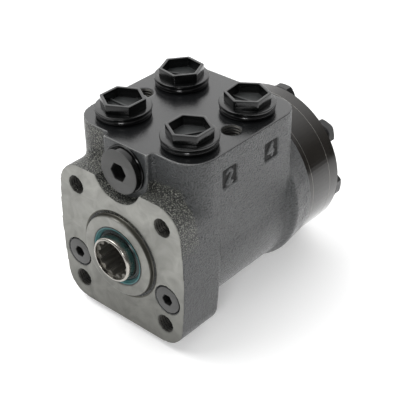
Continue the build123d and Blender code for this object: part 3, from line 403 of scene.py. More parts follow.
def shade(code: str, share: float) -> Colour:
    """Linear colour, darker or lighter than its code.

    Args:
        code: hex code.
        share: below 1 for darker, above 1 for lighter.

    Returns:
        The linear colour, with alpha.
    """
    red, green, blue = (min(1.0, c * share) for c in linear(code)[:3])
    return (red, green, blue, 1.0)


def per_mm(size: float) -> float:
    """Scale of a texture whose cells are to be this many millimetres across."""
    return 1.0 / (size * MM)


def wire(node: bpy.types.Node, inputs: dict) -> None:
    """Set the inputs of a node.

    Args:
        node: the node.
        inputs: value or feeding socket of each input, by its name or number.
    """
    for key, value in inputs.items():
        if isinstance(value, Socket):
            node.id_data.links.new(value, node.inputs[key])
        else:
            node.inputs[key].default_value = value


def add_node(
    tree: bpy.types.NodeTree,
    kind: str,
    inputs: dict | None = None,
    out: int | str = 0,
    **settings: object,
) -> Socket:
    """Add a node with its settings and links.

    Args:
        tree: node tree to add it to.
        kind: Blender's name of the node type, after its first part, ShaderNode.
        inputs: value or feeding socket of each input, by its name or number.
        out: name or number of the output that is wanted.
        settings: the node's own settings.

    Returns:
        The wanted output.
    """
    made = tree.nodes.new(f"ShaderNode{kind}")
    for key, value in settings.items():
        setattr(made, key, value)
    wire(made, inputs or {})
    return made.outputs[out]


def zone(add: AddNode, edges: Sequence[tuple[Socket, float, float]]) -> Socket:
    """Zone of a surface, where every one of its edges lets it through.

    Args:
        add: adds a node to the tree of the material.
        edges: a socket for each edge, and its values where the zone starts and where it is full.

    Returns:
        Share from 0 to 1.
    """
    shares = [
        add("MapRange", {"Value": source, "From Min": start, "From Max": full})
        for source, start, full in edges
    ]
    share = shares[0]
    for other in shares[1:]:
        share = add("Math", {0: share, 1: other}, operation="MULTIPLY")
    return share


def coated(
    add: AddNode,
    colour: Colour | Socket,
    coats: Sequence[tuple[Colour | Socket, Socket]],
) -> Socket:
    """Colour with coats laid over it.

    Args:
        add: adds a node to the tree of the material.
        colour: the ground.
        coats: colour of each coat, and the share of the ground that it covers.

    Returns:
        The colour that is seen.
    """
    for coat, share in coats:
        colour = add("Mix", {0: share, 6: colour, 7: coat}, 2, data_type="RGBA")
    return colour


@dataclass(frozen=True)
class Finish:
    """One surface finish: its name and the values that its shader starts from."""

    name: str
    colour: str
    roughness: float
    metallic: float = 0.0
    mottle: float = 0.1          # how far the colour strays
    mottle_mm: float = 6.0       # width of its patches
    grain_mm: float = 0.5        # width of the surface's grains
    grain_depth_mm: float = 0.01

    def start(self) -> tuple[Material, AddNode, bpy.types.Node, Socket]:
        """New material with its shader.

        Returns:
            The material, what adds a node to it, its shader and the place on the piece.
        """
        material = bpy.data.materials.new(self.name)
        material.use_nodes = True
        shader = material.node_tree.nodes["Principled BSDF"]
        wire(shader, {"Metallic": self.metallic})
        add = partial(add_node, material.node_tree)
        return material, add, shader, add("TexCoord", out="Object")

    def dress(self) -> Material:
        """Build the finish: patches in colour and roughness, and fine grain as bump.

        Returns:
            The material.
        """
        material, add, shader, place = self.start()
        patches = add("TexNoise", {"Vector": place, "Scale": per_mm(self.mottle_mm), "Detail": 4.0})
        dark, light = (shade(self.colour, share) for share in (1 - self.mottle, 1 + self.mottle))
        dull, bright = (self.roughness * share for share in (0.85, 1.15))
        grain = add("TexNoise", {"Vector": place, "Scale": per_mm(self.grain_mm), "Detail": 3.0})
        patch_range = {"Value": patches, "From Min": 0.3, "From Max": 0.7, "To Min": dull, "To Max": bright}
        wire(
            shader,
            {
                "Base Color": coated(add, dark, [(light, patches)]),
                "Roughness": add("MapRange", patch_range),
                "Normal": add("Bump", {"Height": grain, "Distance": self.grain_depth_mm * MM}),
            },
        )
        return material


@dataclass(frozen=True)
class TurnedFinish(Finish):
    """Metal cut on a lathe: fine rings round the shaft, which draw soft bands of light."""

    ring_mm: float = 0.35
    ring_depth_mm: float = 0.006

    def dress(self) -> Material:
        """Build the finish with rings in bump.

        Returns:
            The material.
        """
        material = super().dress()
        add = partial(add_node, material.node_tree)
        shader = material.node_tree.nodes["Principled BSDF"]
        x, y, z = add("SeparateXYZ", {0: add("TexCoord", out="Object")}).node.outputs
        across = add("CombineXYZ", {"X": x, "Y": z})
        radius = add("VectorMath", {0: across}, "Value", operation="LENGTH")
        # Rings on flat faces follow the radius, and on the outside they follow the length
        track = add("Math", {0: radius, 1: y}, operation="ADD")
        rings = {"W": track, "Scale": per_mm(self.ring_mm), "Detail": 2.0}
        lines = add("TexNoise", rings, noise_dimensions="1D")
        grain = shader.inputs["Normal"].links[0].from_socket
        ridges = {"Height": lines, "Distance": self.ring_depth_mm * MM, "Normal": grain}
        wire(shader, {"Normal": add("Bump", ridges)})
        return material


@dataclass(frozen=True)
class CastingPaint(Finish):
    """Black paint sprayed on a sand casting, left off the milled column face.

    The eye gets three surfaces: a grainy sheen on the cast walls, a smooth even sheen on the milled
    port face, and the warm bare iron of the column face with faint clouds from handling. Over them
    lie painted glints on the coarse grains, a painted highlight on the front edges, and painted
    shade in the pits, the mark floors, the inner corners, round the spigot and low on the column face.
    """

    bare_colour: str = "#9b9b96"
    bare_roughness: float = 0.42
    bare_metal: float = 0.85
    bare_depth: float = 0.35     # how far the bare iron reaches behind the column face
    port_face: float = 60.0
    port_colour: str = "#141516"  # milled face: a thin, even, darker coat
    port_roughness: float = 0.2
    grain_mm: float = 0.4        # trace of grain on every surface
    grain_share: float = 0.02    # its depth as a share of the sand's
    rough_mm: float = 1.0        # grains of the sand mould
    rough_depth_mm: float = 1.5  # on the shoulder and in the recess, where the mould was coarse
    wall_share: float = 0.75     # of that depth on the other walls
    pit_shade: str = "#161616"         # painted shade in the pits of the mould
    glint_mm: float = 0.62       # painted glints on the tops of the coarse grains
    speck_ground: str = "#262725"
    glint_colour: str = "#8b8c83"
    wear_and_highlight: str = "#8f908e"        # painted highlight along the sharp edges at the front, where the paint is also rubbed
    wear_and_highlight_end: float = 20.0
    # near black on the floors of the sunk marks: painted shade in their recesses
    mark_floor_shade: str = "#070707"
    mark_roughness: float = 0.75
    mark_wall: float = 40.8      # side wall with the sunk port marks
    mark_depth: float = 0.8
    mark_y: tuple[float, float] = (36.3, 68.1)
    mark_z: float = 45.2
    mark_half: float = 5.6
    coarse_end: float = 12.2     # the coarse zone lies in front of this
    coarse_low: float = 18.0     # and above this
    coarse_top: float = 45.0     # right of the relief plug it also lies below this
    recess_x: float = -17.0      # left of this the recess beside the boss is coarse too
    recess_end: float = 26.0
    spot_face: float = 7.0
    cloud_mm: float = 11.0       # stains from handling on the iron, and from the spray on the port face
    oil: str = "#a9a9a7"         # painted shade: darker lower down the face, where the iron shows the floor near the unit darker
    low_shade_reach: tuple[float, float] = (-42.0, 25.0)
    swirl_centre: tuple[float, float, float] = (-55.0, 0.0, -90.0)
    swirl_mm: float = 1.6
    swirl_depth_mm: float = 0.012
    # Painted shade on the spigot's wall and on the relief cut round it
    spigot_shade: str = "#56554f"
    groove: tuple[float, float] = (22.2, 24.7)  # relief cut round the spigot
    corner_shade_mm: float = 5.0       # reach of the painted shade in inner corners

    def marks(self, add: AddNode, x: Socket, y: Socket, z: Socket) -> Socket:
        """Zone of the sunk floors of the port marks, on both side walls, which get painted shade.

        Args:
            add: adds a node to the tree of the material.
            x: place across, in millimetres.
            y: place along the shaft.
            z: height.

        Returns:
            Share from 0 to 1.
        """
        side = add("Math", {0: x}, operation="ABSOLUTE")
        floor = self.mark_wall - self.mark_depth
        depth = [(side, self.mark_wall - 0.35, self.mark_wall - 0.6), (side, floor - 0.6, floor - 0.3)]
        squares = []
        for middle in self.mark_y:
            edges = list(depth)
            for source, centre in ((y, middle), (z, self.mark_z)):
                low, high = centre - self.mark_half, centre + self.mark_half
                edges += [(source, low - 0.1, low + 0.1), (source, high + 0.1, high - 0.1)]
            squares.append(zone(add, edges))
        return add("Math", {0: squares[0], 1: squares[1]}, operation="ADD")

    def iron(self, add: AddNode, cloudy: Socket, x: Socket, z: Socket) -> Socket:
        """Colour of the bare column face: clouds, painted shade lower down, and painted shade on the spigot's
        wall and relief.

        Args:
            add: adds a node to the tree of the material.
            cloudy: clouds from 0 to 1.
            x: place across, in millimetres.
            z: height.

        Returns:
            The colour.
        """
        clouds = coated(add, shade(self.bare_colour, 0.78), [(linear(self.bare_colour), cloudy)])
        # Painted shade: the face darkens towards the bottom
        oily = coated(add, linear(self.oil), [((1.0, 1.0, 1.0, 1.0), zone(add, [(z, *self.low_shade_reach)]))])
        face = add("Mix", {0: 1.0, 6: clouds, 7: oily}, 2, data_type="RGBA", blend_type="MULTIPLY")
        reach = add("VectorMath", {0: add("CombineXYZ", {"X": x, "Y": z})}, "Value", operation="LENGTH")
        inner, outer = self.groove
        # Painted shade on the spigot's wall and on the relief round it
        cut = zone(add, [(reach, inner - 0.1, inner + 0.2), (reach, outer + 0.2, outer - 0.1)])
        return coated(add, face, [(linear(self.spigot_shade), cut)])

    def dress(self) -> Material:
        """Build the finish with its three surfaces.

        Returns:
            The material.
        """
        material, add, shader, place = self.start()
        geometry = add("NewGeometry").node.outputs
        place_mm = add("VectorMath", {0: place, "Scale": 1 / MM}, operation="SCALE")
        x, y, z = add("SeparateXYZ", {0: place_mm}).node.outputs
        cloud_range = {"Vector": place, "Scale": per_mm(self.cloud_mm), "Detail": 6.0, "Distortion": 1.4}
        clouds = add("TexNoise", cloud_range)
        cloudy = zone(add, [(clouds, 0.3, 0.7)])
        grains = {"Vector": place, "Scale": per_mm(self.rough_mm), "Detail": 3.0, "Roughness": 0.55}
        lumps = add("TexNoise", grains)
        dots = add("TexNoise", {"Vector": place, "Scale": per_mm(self.glint_mm), "Detail": 1.0})

        # Where each surface lies
        bare = zone(add, [(y, self.bare_depth + 0.12, self.bare_depth - 0.12)])
        milled = zone(add, [(z, self.port_face - 0.5, self.port_face - 0.2)])
        shoulder = zone(
            add,
            [
                (y, self.coarse_end + 0.4, self.coarse_end - 0.4),
                (z, self.coarse_top + 1.5, self.coarse_top - 1.5),
            ],
        )
        recess = zone(add, [(x, self.recess_x, self.recess_x - 3), (y, self.recess_end, self.recess_end - 7)])
        front = add("Math", {0: shoulder, 1: recess}, operation="MAXIMUM")
        facing = add("SeparateXYZ", {0: geometry["True Normal"]}, "Y")
        # The spot face under the relief plug is cut flat
        spot = zone(
            add,
            [
                (y, self.spot_face - 0.4, self.spot_face - 0.2),
                (y, self.spot_face + 0.4, self.spot_face + 0.2),
                (facing, -0.8, -0.95),
            ],
        )
        coarse = zone(add, [(front, 0, 1), (z, self.coarse_low - 4, self.coarse_low + 4), (spot, 1, 0)])
        # Painted highlight on the sharp front edges, found by pointiness, where the paint is also rubbed
        rubbed_and_lit = zone(add, [(geometry["Pointiness"], 0.52, 0.57), (y, self.wear_and_highlight_end, self.wear_and_highlight_end - 4)])
        # Floors of the sunk port marks, painted near black as painted shade
        marked = self.marks(add, x, y, z)

        # Paint is a little lighter on the tops of the grains, where it is thin and as a painted highlight,
        # and the pits get painted shade
        tops = add("MapRange", {"Value": lumps, "From Min": 0.52, "From Max": 0.72, "To Max": 0.8})
        pit_shade_share = add("MapRange", {"Value": lumps, "From Min": 0.47, "From Max": 0.38, "To Max": 0.75})
        walls = coated(add, linear(self.colour), [(shade(self.colour, 1.35), tops), (linear(self.pit_shade), pit_shade_share)])
        # Painted glints: light specks on the coarse grains, standing for the sparkle of light on them
        glint_share = zone(add, [(dots, 0.53, 0.63)])
        glinting_walls = coated(add, linear(self.speck_ground), [(linear(self.glint_colour), glint_share)])
        port = coated(add, shade(self.port_colour, 0.8), [(shade(self.port_colour, 1.2), cloudy)])
        coats = [
            (glinting_walls, coarse),
            (port, milled),
            (linear(self.wear_and_highlight), rubbed_and_lit),
            (linear(self.mark_floor_shade), marked),
            (self.iron(add, cloudy, x, z), bare),
        ]

        # Sheen: grains on the walls, matt marks, an even port face, and clouds on the iron
        rough, even = self.roughness, self.bare_roughness
        grain_range = {"From Min": 0.3, "From Max": 0.7, "To Min": rough + 0.08, "To Max": rough - 0.08}
        iron_range = {"From Min": 0.3, "From Max": 0.7, "To Min": even + 0.1, "To Max": even - 0.06}
        sheen = add("MapRange", {"Value": lumps, **grain_range})
        for value, share in (
            (self.mark_roughness, marked),
            (self.port_roughness, milled),
            (add("MapRange", {"Value": clouds, **iron_range}), bare),
        ):
            sheen = add("Mix", {0: share, 2: sheen, 3: value})
        # Painted shade in inner corners: ambient occlusion turns the specular level down there
        corner = {"Distance": self.corner_shade_mm * MM}
        corner_shade = add("AmbientOcclusion", corner, "AO", samples=8, only_local=True)
        corner_shade_range = {"From Min": 0.45, "From Max": 0.95, "To Min": 0.1, "To Max": 0.6}

        # Bump: sand lumps on the cast walls only, and a trace of grain everywhere
        deep = add("Mix", {0: coarse, 2: self.wall_share, 3: 1.0})
        sand = zone(add, [(bare, 1, 0), (milled, 1, 0), (spot, 1, 0), (lumps, 0, 1), (deep, 0, 1)])
        fine = add("TexNoise", {"Vector": place, "Scale": per_mm(self.grain_mm), "Detail": 3.0})
        height = add("Math", {0: fine, 1: self.grain_share, 2: sand}, operation="MULTIPLY_ADD")
        relief = add("Bump", {"Height": height, "Distance": self.rough_depth_mm * MM})
        # The cutter left faint arcs across the column face
        centre = tuple(c * MM for c in self.swirl_centre)
        away = add("VectorMath", {0: place, 1: centre}, "Value", operation="DISTANCE")
        swirl = {"W": away, "Scale": per_mm(self.swirl_mm), "Detail": 3.0}
        arcs = zone(add, [(add("TexNoise", swirl, noise_dimensions="1D"), 0, 1), (bare, 0, 1)])
        cut = {"Height": arcs, "Distance": self.swirl_depth_mm * MM, "Normal": relief}
        wire(
            shader,
            {
                "Base Color": coated(add, walls, coats),
                "Metallic": add("Math", {0: bare, 1: self.bare_metal}, operation="MULTIPLY"),
                "Roughness": sheen,
                "Specular IOR Level": add("MapRange", {"Value": corner_shade, **corner_shade_range}),
                "Normal": add("Bump", cut),
            },
        )
        return material


FINISHES: dict[str, Finish] = {
    # Sand-cast iron under sprayed black enamel
    "casting": CastingPaint("black enamel on sand-cast iron", "#404243", 0.32),
    # Turned steel under the same enamel: smooth, so the room shows in it softly
    "drum": Finish("black enamel on turned steel", "#1c1813", 0.19, 0.0, 0.2, 6.0, 0.9, 0.004),
    # Bare turned steel on the input shaft: bright, with a soft band of light round it
    "turned": TurnedFinish("turned bright steel", "#a5a29c", 0.25, 1.0, 0.08, 5.0, 0.3, 0.003),
    # Paint cracked off an edge: a thin, uneven bright line
    "joint": Finish("bare edge at a joint", "#8d8b86", 0.35, 0.6, 0.5, 6.0, 0.3, 0.003),
    # Lapped valve parts and bearing races: an even, clear shine
    "ground": Finish("ground and lapped steel", "#b9b8b5", 0.22, 1.0, 0.05, 8.0, 0.2, 0.002),
    "bearing": Finish("polished bearing steel", "#c4c4c2", 0.12, 1.0, 0.03, 8.0, 0.2, 0.001),
    # Iron that a tap has cut: dark and torn, with a glint on the crests
    "thread": Finish("cut thread in iron", "#3b3a37", 0.4, 0.8, 0.3, 2.0, 0.3, 0.01),
    # Zinc phosphate on steel: dull mid grey with a fine crystal grain
    "phosphate": Finish("zinc phosphated steel", "#4a4a49", 0.44, 0.25, 0.14, 1.6, 0.3, 0.008),
    # Floor and walls of a key socket: matt and in shadow, so it reads as a black hole
    "socket": Finish("shadowed key socket", "#0b0b0b", 0.5, 0.1, 0.14, 1.6, 0.3, 0.008),
    # Broached teeth, darker than the bright steel of the nose: brown-grey, half bright
    "spline": Finish("hardened spline, darker than the nose", "#62605a", 0.38, 0.6, 0.25, 2.5, 0.4, 0.008),
    # Black oxide and oil: near black, with a soft metal shine
    "black_oxide": Finish("black oxide on forged steel", "#19191a", 0.36, 0.35, 0.2, 2.5, 0.6, 0.012),
    # A wet film of oil on black, the sharpest glint at the front: the black is painted shade on the side of
    # the relief plug's head and on its washer
    "shaded_gloss": Finish("oiled black in painted shade", "#0c0c0c", 0.14, 0.3, 0.2, 3.0, 0.6, 0.003),
    # Drawn and tempered wire: blue-grey, with a line of light along each coil
    "spring": Finish("oil-hardened spring wire", "#4c4d52", 0.3, 1.0, 0.1, 3.0, 0.3, 0.002),
    # Moulded polyethylene: waxy black with a slight sheen
    "plug": Finish("moulded black polyethylene", "#090a0a", 0.22, 0.0, 0.25, 5.0, 2.5, 0.012),
    # Dust on the floor of the moulding: matt dark grey
    "plug_floor": Finish("dusty floor of a moulded plug", "#303232", 0.5, 0.0, 0.3, 2.0, 0.6, 0.02),
    # Moulded rubber: deep black and glossy on the rings, matt teal on the shaft's seal
    "rubber": Finish("moulded black nitrile rubber", "#0b0b0c", 0.2, 0.0, 0.15, 3.0, 0.4, 0.003),
    "seal": Finish("moulded teal seal rubber", "#226365", 0.42, 0.0, 0.6, 3.0, 0.4, 0.01),
    # Lip of that seal: near black with a soft shine; the same near black in the thin ring at the edge of the
    # seal's bore is painted shade
    "seal_dark": Finish("dark seal lip and edge shade", "#0d1a1b", 0.3, 0.0, 0.4, 1.2, 0.4, 0.006),
}


@dataclass
class Stock:
    """The finishes as materials, each made once."""

    made: dict[str, Material] = field(default_factory=dict)

    def get(self, name: str) -> Material:
        """Material of a finish, made when it is first asked for.

        Args:
            name: short name of the finish.

        Returns:
            The material.
        """
        if name not in self.made:
            self.made[name] = FINISHES[name].dress()
        return self.made[name]

    def several(self, *names: str) -> list[Material]:
        """Materials of several finishes, in order."""
        return [self.get(name) for name in names]


# ---------------------------------------------------------------- the casting


def remeshed(source: bpy.types.Mesh, voxel: float, smoothing: int) -> bpy.types.Mesh:
    """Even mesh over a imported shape, with its sharp edges worn round as on a real casting.

    Args:
        source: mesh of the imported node, which stays as it is.
        voxel: mesh width in millimetres.
        smoothing: how many times the mesh is smoothed.

    Returns:
        The new mesh.
    """
    work = bpy.data.objects.new("work", source.copy())
    bpy.context.scene.collection.objects.link(work)
    grid = work.modifiers.new("grid", "REMESH")
    grid.mode = "VOXEL"
    grid.voxel_size = voxel * MM
    grid.adaptivity = 0.0
    soften = work.modifiers.new("soften", "SMOOTH")
    soften.factor = 0.5
    soften.iterations = smoothing
    graph = bpy.context.evaluated_depsgraph_get()
    mesh = bpy.data.meshes.new_from_object(work.evaluated_get(graph))
    bpy.data.objects.remove(work)
    mesh.materials.clear()
    return mesh


@dataclass
class Casting:
    """Cast housing with its milled column face, port face and threaded holes."""

    stock: Stock
    voxel: float = 0.55
    quick_voxel: float = 0.9
    column_holes: Point = (29.17, 29.17)
    column_thread_r: float = 5.0
    column_depth: float = 16.9
    bracket_x: float = 29.3
    bracket_y: float = 51.0
    bracket_depth: float = 14.9
    pitch: float = 1.5
    tooth: float = 0.62
    port_face: float = 60.0
    rear_face: float = 101.0
    milled_margin: float = 0.6   # this close to a milled face the mesh stays flat
    port_x: float = 22.0
    port_rows: tuple[float, float] = (29.0, 72.0)
    port_r: float = 11.5         # ports and their mouths stay true
    bore_r: float = 39.0         # and so does all that lies this near the shaft
    waves: Sequence[Point] = ((0.11, 0.10), (0.55, 0.09))  # long and short: waves in 1 mm, and depth
    calm_share: float = 0.45     # of the short waves, away from the coarse shoulder
    shoulder: Point = (13.0, 38.0)

    def build(self) -> None:
        """Build the housing and the threads in its open holes."""
        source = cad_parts["housing"].data
        mesh = remeshed(source, self.voxel, 5)
        self.roughen(mesh)
        mesh.materials.append(self.stock.get("casting"))
        mesh.polygons.foreach_set("material_index", [0] * len(mesh.polygons))
        piece = add_piece("cast_housing", mesh, "casing")
        stand_for(piece, ["housing"])
        x, z = self.column_holes
        for i, centre in enumerate(((x, z), (-x, z), (-x, -z), (x, -z))):
            self.thread(f"column_thread_{i + 1}", Direction.SHAFT, centre, 0.0, self.column_depth)
        for i, side in enumerate((-1, 1)):
            centre = (side * self.bracket_x, self.bracket_y)
            self.thread(f"bracket_thread_{i + 1}", Direction.UP, centre, self.port_face, -self.bracket_depth)

    def roughen(self, mesh: bpy.types.Mesh) -> None:
        """Give the cast walls the slight unevenness of a sand mould; milled faces stay flat.

        Args:
            mesh: mesh of the housing, in metres, which is changed.
        """
        count = len(mesh.vertices)
        places = np.empty(count * 3, dtype=np.float32)
        normals = np.empty(count * 3, dtype=np.float32)
        mesh.vertices.foreach_get("co", places)
        mesh.vertex_normals.foreach_get("vector", normals)
        places = places.reshape(-1, 3) / MM
        x, y, z = places.T
        margin = self.milled_margin
        milled = (y < margin) | (z > self.port_face - margin) | (y > self.rear_face - margin)
        nearest_row = np.minimum(*(np.abs(y - row) for row in self.port_rows))
        in_port = (z > 0) & (np.hypot(np.abs(x) - self.port_x, nearest_row) < self.port_r)
        cast = ~(milled | in_port | (np.hypot(x, z) < self.bore_r))
        shoulder = (y < self.shoulder[0]) & (z > self.shoulder[1])
        moves = np.zeros(count)
        for i in np.nonzero(cast)[0]:
            place = Vector(places[i].tolist())
            long, short = (depth * noise.noise(place * rate) for rate, depth in self.waves)
            moves[i] = long + short * (1.0 if shoulder[i] else self.calm_share)
        places += normals.reshape(-1, 3) * moves[:, None]
        mesh.vertices.foreach_set("co", (places * MM).astype(np.float32).ravel())
        mesh.update()

    def thread(self, name: str, direction: Direction, centre: Point, mouth: float, length: float) -> None:
        """Add the thread of one hole as a liner with ridges.

        Args:
            name: name of the piece.
            direction: which way the hole runs.
            centre: middle of the hole.
            mouth: place of its mouth along its length.
            length: how far it goes in, with the sign of the way in.
        """
        outer_r = self.column_thread_r + 0.12
        root_r, crest_r = outer_r - 0.14, self.column_thread_r - self.tooth
        turn = math.copysign(self.pitch, length)
        turns = int(abs(length) / self.pitch)
        start = mouth + math.copysign(0.35, length)
        profile: list[Point] = [(outer_r, start)]
        for i in range(turns):
            for radius, share in ((root_r, 0.12), (crest_r, 0.44), (crest_r, 0.56), (root_r, 0.88)):
                profile.append((radius, start + turn * (i + share)))
        profile.append((outer_r, start + turn * turns))
        draft = Draft(direction)
        draft.turned(profile, centre, 48)
        piece = draft.piece(name, [self.stock.get("thread")], "casing")


# ---------------------------------------------------------------- input shaft and seal


@dataclass
class InputShaft:
    """End of the control spool that the steering column's shaft plugs into, with its dust seal."""

    stock: Stock
    nose_r: float = 12.2
    nose_out: float = 7.0
    lead_r: float = 10.9
    lead_depth: float = 1.6
    tooth_tip_r: float = 8.75
    tooth_root_r: float = 10.4
    teeth: int = 12
    space_inner: float = 1.62
    space_outer: float = 0.85
    spline_end: float = 12.0
    web_end: float = 13.2        # back of the web that closes the splined hole
    seal_seat_r: float = 16.3
    seal_front: float = -2.3
    seal_back: float = 1.4

    def spline(self) -> list[Point]:
        """Outline of the splined hole, its tooth tips slightly rounded.

        Returns:
            The points, counter-clockwise.
        """
        inner = math.sqrt(self.tooth_tip_r**2 - self.space_inner**2)
        space = (
            (inner, -self.space_inner, 0.22),
            (self.tooth_root_r, -self.space_outer, 0.3),
            (self.tooth_root_r, self.space_outer, 0.3),
            (inner, self.space_inner, 0.22),
        )
        corners = [
            (*spun((u, v), 360 * i / self.teeth), rounding)
            for i in range(self.teeth)
            for u, v, rounding in space
        ]
        return rounded(corners, 3)

    def build(self) -> None:
        """Build the nose of the spool, the rest of the spool behind it, and the seal."""
        nose = Draft()
        lead_end = self.lead_depth - self.nose_out
        front = rounded(
            [
                (self.lead_r, lead_end + 0.3, 0),
                (self.lead_r, -self.nose_out, 0.22),
                (self.nose_r, -self.nose_out, 1.05),
                (self.nose_r, lead_end + 0.3, 0),
            ],
            6,
        )
        nose.turned(front, count=128)
        end = self.spline_end
        nose.slab(circle(self.nose_r, count=128), [self.spline()], lead_end, end + 0.1, 0.01, 0.18, 1)
        outside, under = self.nose_r, self.nose_r - 0.2
        skin = [(outside, lead_end - 0.1), (outside + 0.005, end), (under, end), (under, lead_end - 0.1)]
        nose.turned(skin, count=128)
        nose.turned([(0, end), (outside, end), (outside, self.web_end), (0, self.web_end)], count=96)
        piece = nose.piece("spool_nose", self.stock.several("turned", "spline"), "spool")
        body = self.spool_body()
        stand_for(body, ["control_spool"])
        self.dust_seal()

    def dust_seal(self) -> None:
        """Build the seal: a teal rubber dish with a dark lip on the nose, ringed by painted shade where its
        steel case sits.
        """
        seal = Draft()
        front, lip_r = self.seal_front, self.nose_r + 0.06
        seal.turned(
            rounded(
                [
                    (self.seal_seat_r, front, 0.25),
                    (self.seal_seat_r, self.seal_back, 0),
                    (lip_r + 1.5, self.seal_back, 0),
                    (lip_r + 1.9, front + 1.3, 0.3),
                    (self.seal_seat_r - 1.4, front + 0.6, 0.3),
                    (self.seal_seat_r - 1.1, front, 0.25),
                ],
                3,
            ),
            count=128,
        )
        # A near-black ring round the rubber, where the seal's steel case sits: painted shade in the gap at
        # the edge of the bore
        seat_r, case_r = self.seal_seat_r, self.seal_seat_r - 0.4
        case = [(seat_r, front - 0.08), (seat_r, front + 0.3), (case_r, front + 0.3), (case_r, front - 0.08)]
        seal.turned(case, count=128, finish=1)
        seal.turned(
            rounded(
                [
                    (lip_r + 1.7, self.seal_back - 0.1, 0),
                    (lip_r + 0.5, self.seal_back - 0.1, 0),
                    (lip_r, front + 1.5, 0.1),
                    (lip_r, front + 0.9, 0.1),
                    (lip_r + 0.6, front + 0.5, 0.2),
                    (lip_r + 1.1, front + 1.1, 0.2),
                    (lip_r + 2.2, front + 1.6, 0.2),
                ],
                3,
            ),
            count=128,
            finish=1,
        )
        ring = seal.piece("dust_seal_ring", self.stock.several("seal", "seal_dark"), "casing")
        stand_for(ring, ["dust_seal"])

    def spool_body(self) -> bpy.types.Object:
        """Spool behind its nose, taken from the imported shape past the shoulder.

        Returns:
            The piece.
        """
        mesh = packed_mesh("control_spool", [self.stock.get("ground")])
        shell = bmesh.new()
        shell.from_mesh(mesh)
        bmesh.ops.remove_doubles(shell, verts=shell.verts, dist=1e-6)
        cut = (self.web_end + 0.1) * MM
        halves = bmesh.ops.bisect_plane(
            shell,
            geom=[*shell.verts, *shell.edges, *shell.faces],
            plane_co=(0, cut, 0),
            plane_no=(0, 1, 0),
            clear_inner=True,
        )
        rim = [e for e in halves["geom_cut"] if isinstance(e, bmesh.types.BMEdge)]
        bmesh.ops.triangle_fill(shell, edges=rim, use_beauty=True)
        bmesh.ops.recalc_face_normals(shell, faces=shell.faces)
        for face in shell.faces:
            face.material_index = 0
        shell.to_mesh(mesh)
        shell.free()
        return add_piece("spool_body", mesh, "spool")


# ---------------------------------------------------------------- screwed plugs in the front


@dataclass
class KeyPlug:
    """Steel screw plug with a hexagon socket in its face."""

    stock: Stock
    name: str
    node: str
    centre: Point
    front: float
    head_r: float
    head_depth: float
    shank_r: float
    end: float
    key_flats: float
    key_depth: float
    bevel: float
    shaded_rim: bool = False
    pitch: float = 1.5

    def build(self) -> None:
        """Build the plug: head ring, socket walls and threaded shank."""
        draft = Draft()
        key = hexagon(self.key_flats, self.centre, 0.0, 0.1 * self.key_flats)
        behind = self.front + self.head_depth
        floor = self.front + self.key_depth
        draft.slab(circle(self.head_r, self.centre, 112), [key], self.front, behind, self.bevel, 0.35, 0, 1)
        if self.shaded_rim:
            # The side of the head is near black: painted shade beside the boss, under an oily gloss
            low, high = self.head_r - 0.4, self.head_r + 0.02
            start, end = self.front + self.bevel, behind - 0.1
            draft.turned([(low, start), (high, start), (high, end), (low, end)], self.centre, 112, 2)
        if floor > behind:
            wall = circle(self.shank_r - 0.4, self.centre, 64)
            draft.slab(wall, [key], behind - 0.3, floor + 0.1, 0.05, 0.02, 1)
        bed_r = self.key_flats * 0.62
        bed = [(0, floor), (bed_r, floor), (bed_r, floor + 0.3), (0, floor + 0.3)]
        draft.turned(bed, self.centre, 48, 1)
        root_r = self.shank_r - 0.6
        start, bevel = floor + 0.1, self.end - 0.4
        shank = [(0, start), (root_r, start), (root_r, bevel), (root_r - 0.5, self.end), (0, self.end)]
        draft.turned(shank, self.centre, 64)
        turns = int((self.end - behind - 0.8) / self.pitch)
        for i in range(turns):
            crest = ridge(root_r, self.shank_r - 0.02, behind + i * self.pitch, self.pitch)
            draft.turned(crest, self.centre, 64)
        piece = draft.piece(self.name, self.stock.several("phosphate", "socket", "shaded_gloss"), "casing")
        stand_for(piece, [self.node])


@dataclass
class FrontPlugs:
    """Relief valve plug on its washer, which is painted near black as painted shade, and the two shock valve
    plugs below it.
    """

    stock: Stock
    relief: Point = (0.0, 47.4)
    washer_r: float = 12.6
    washer_front: float = 5.6
    washer_back: float = 7.0
    shock_x: float = 31.0
    shock_z: float = -13.2

    def build(self) -> None:
        """Build the three plugs and the washer."""
        KeyPlug(
            self.stock,
            name="relief_key_plug",
            node="relief_plug",
            centre=self.relief,
            front=2.0,
            head_r=11.8,
            head_depth=3.6,
            shank_r=8.0,
            end=19.0,
            key_flats=8.6,
            key_depth=6.0,
            bevel=0.4,
            shaded_rim=True,
        ).build()
        for name, side in (("left", -1), ("right", 1)):
            KeyPlug(
                self.stock,
                name=f"shock_key_plug_{name}",
                node=f"shock_plug_{name}",
                centre=(side * self.shock_x, self.shock_z),
                front=0.2,
                head_r=7.5,
                head_depth=11.9,
                shank_r=7.5,
                end=12.2,
                key_flats=5.4,
                key_depth=5.0,
                bevel=0.45,
            ).build()
        washer = Draft()
        washer.slab(
            circle(self.washer_r, self.relief, 112),
            [circle(8.1, self.relief, 64)],
            self.washer_front,
            self.washer_back,
            0.3,
            0.1,
        )
        ring = washer.piece("relief_washer", [self.stock.get("shaded_gloss")], "casing")
        stand_for(ring, ["relief_plug_seal"])


# ---------------------------------------------------------------- gear end


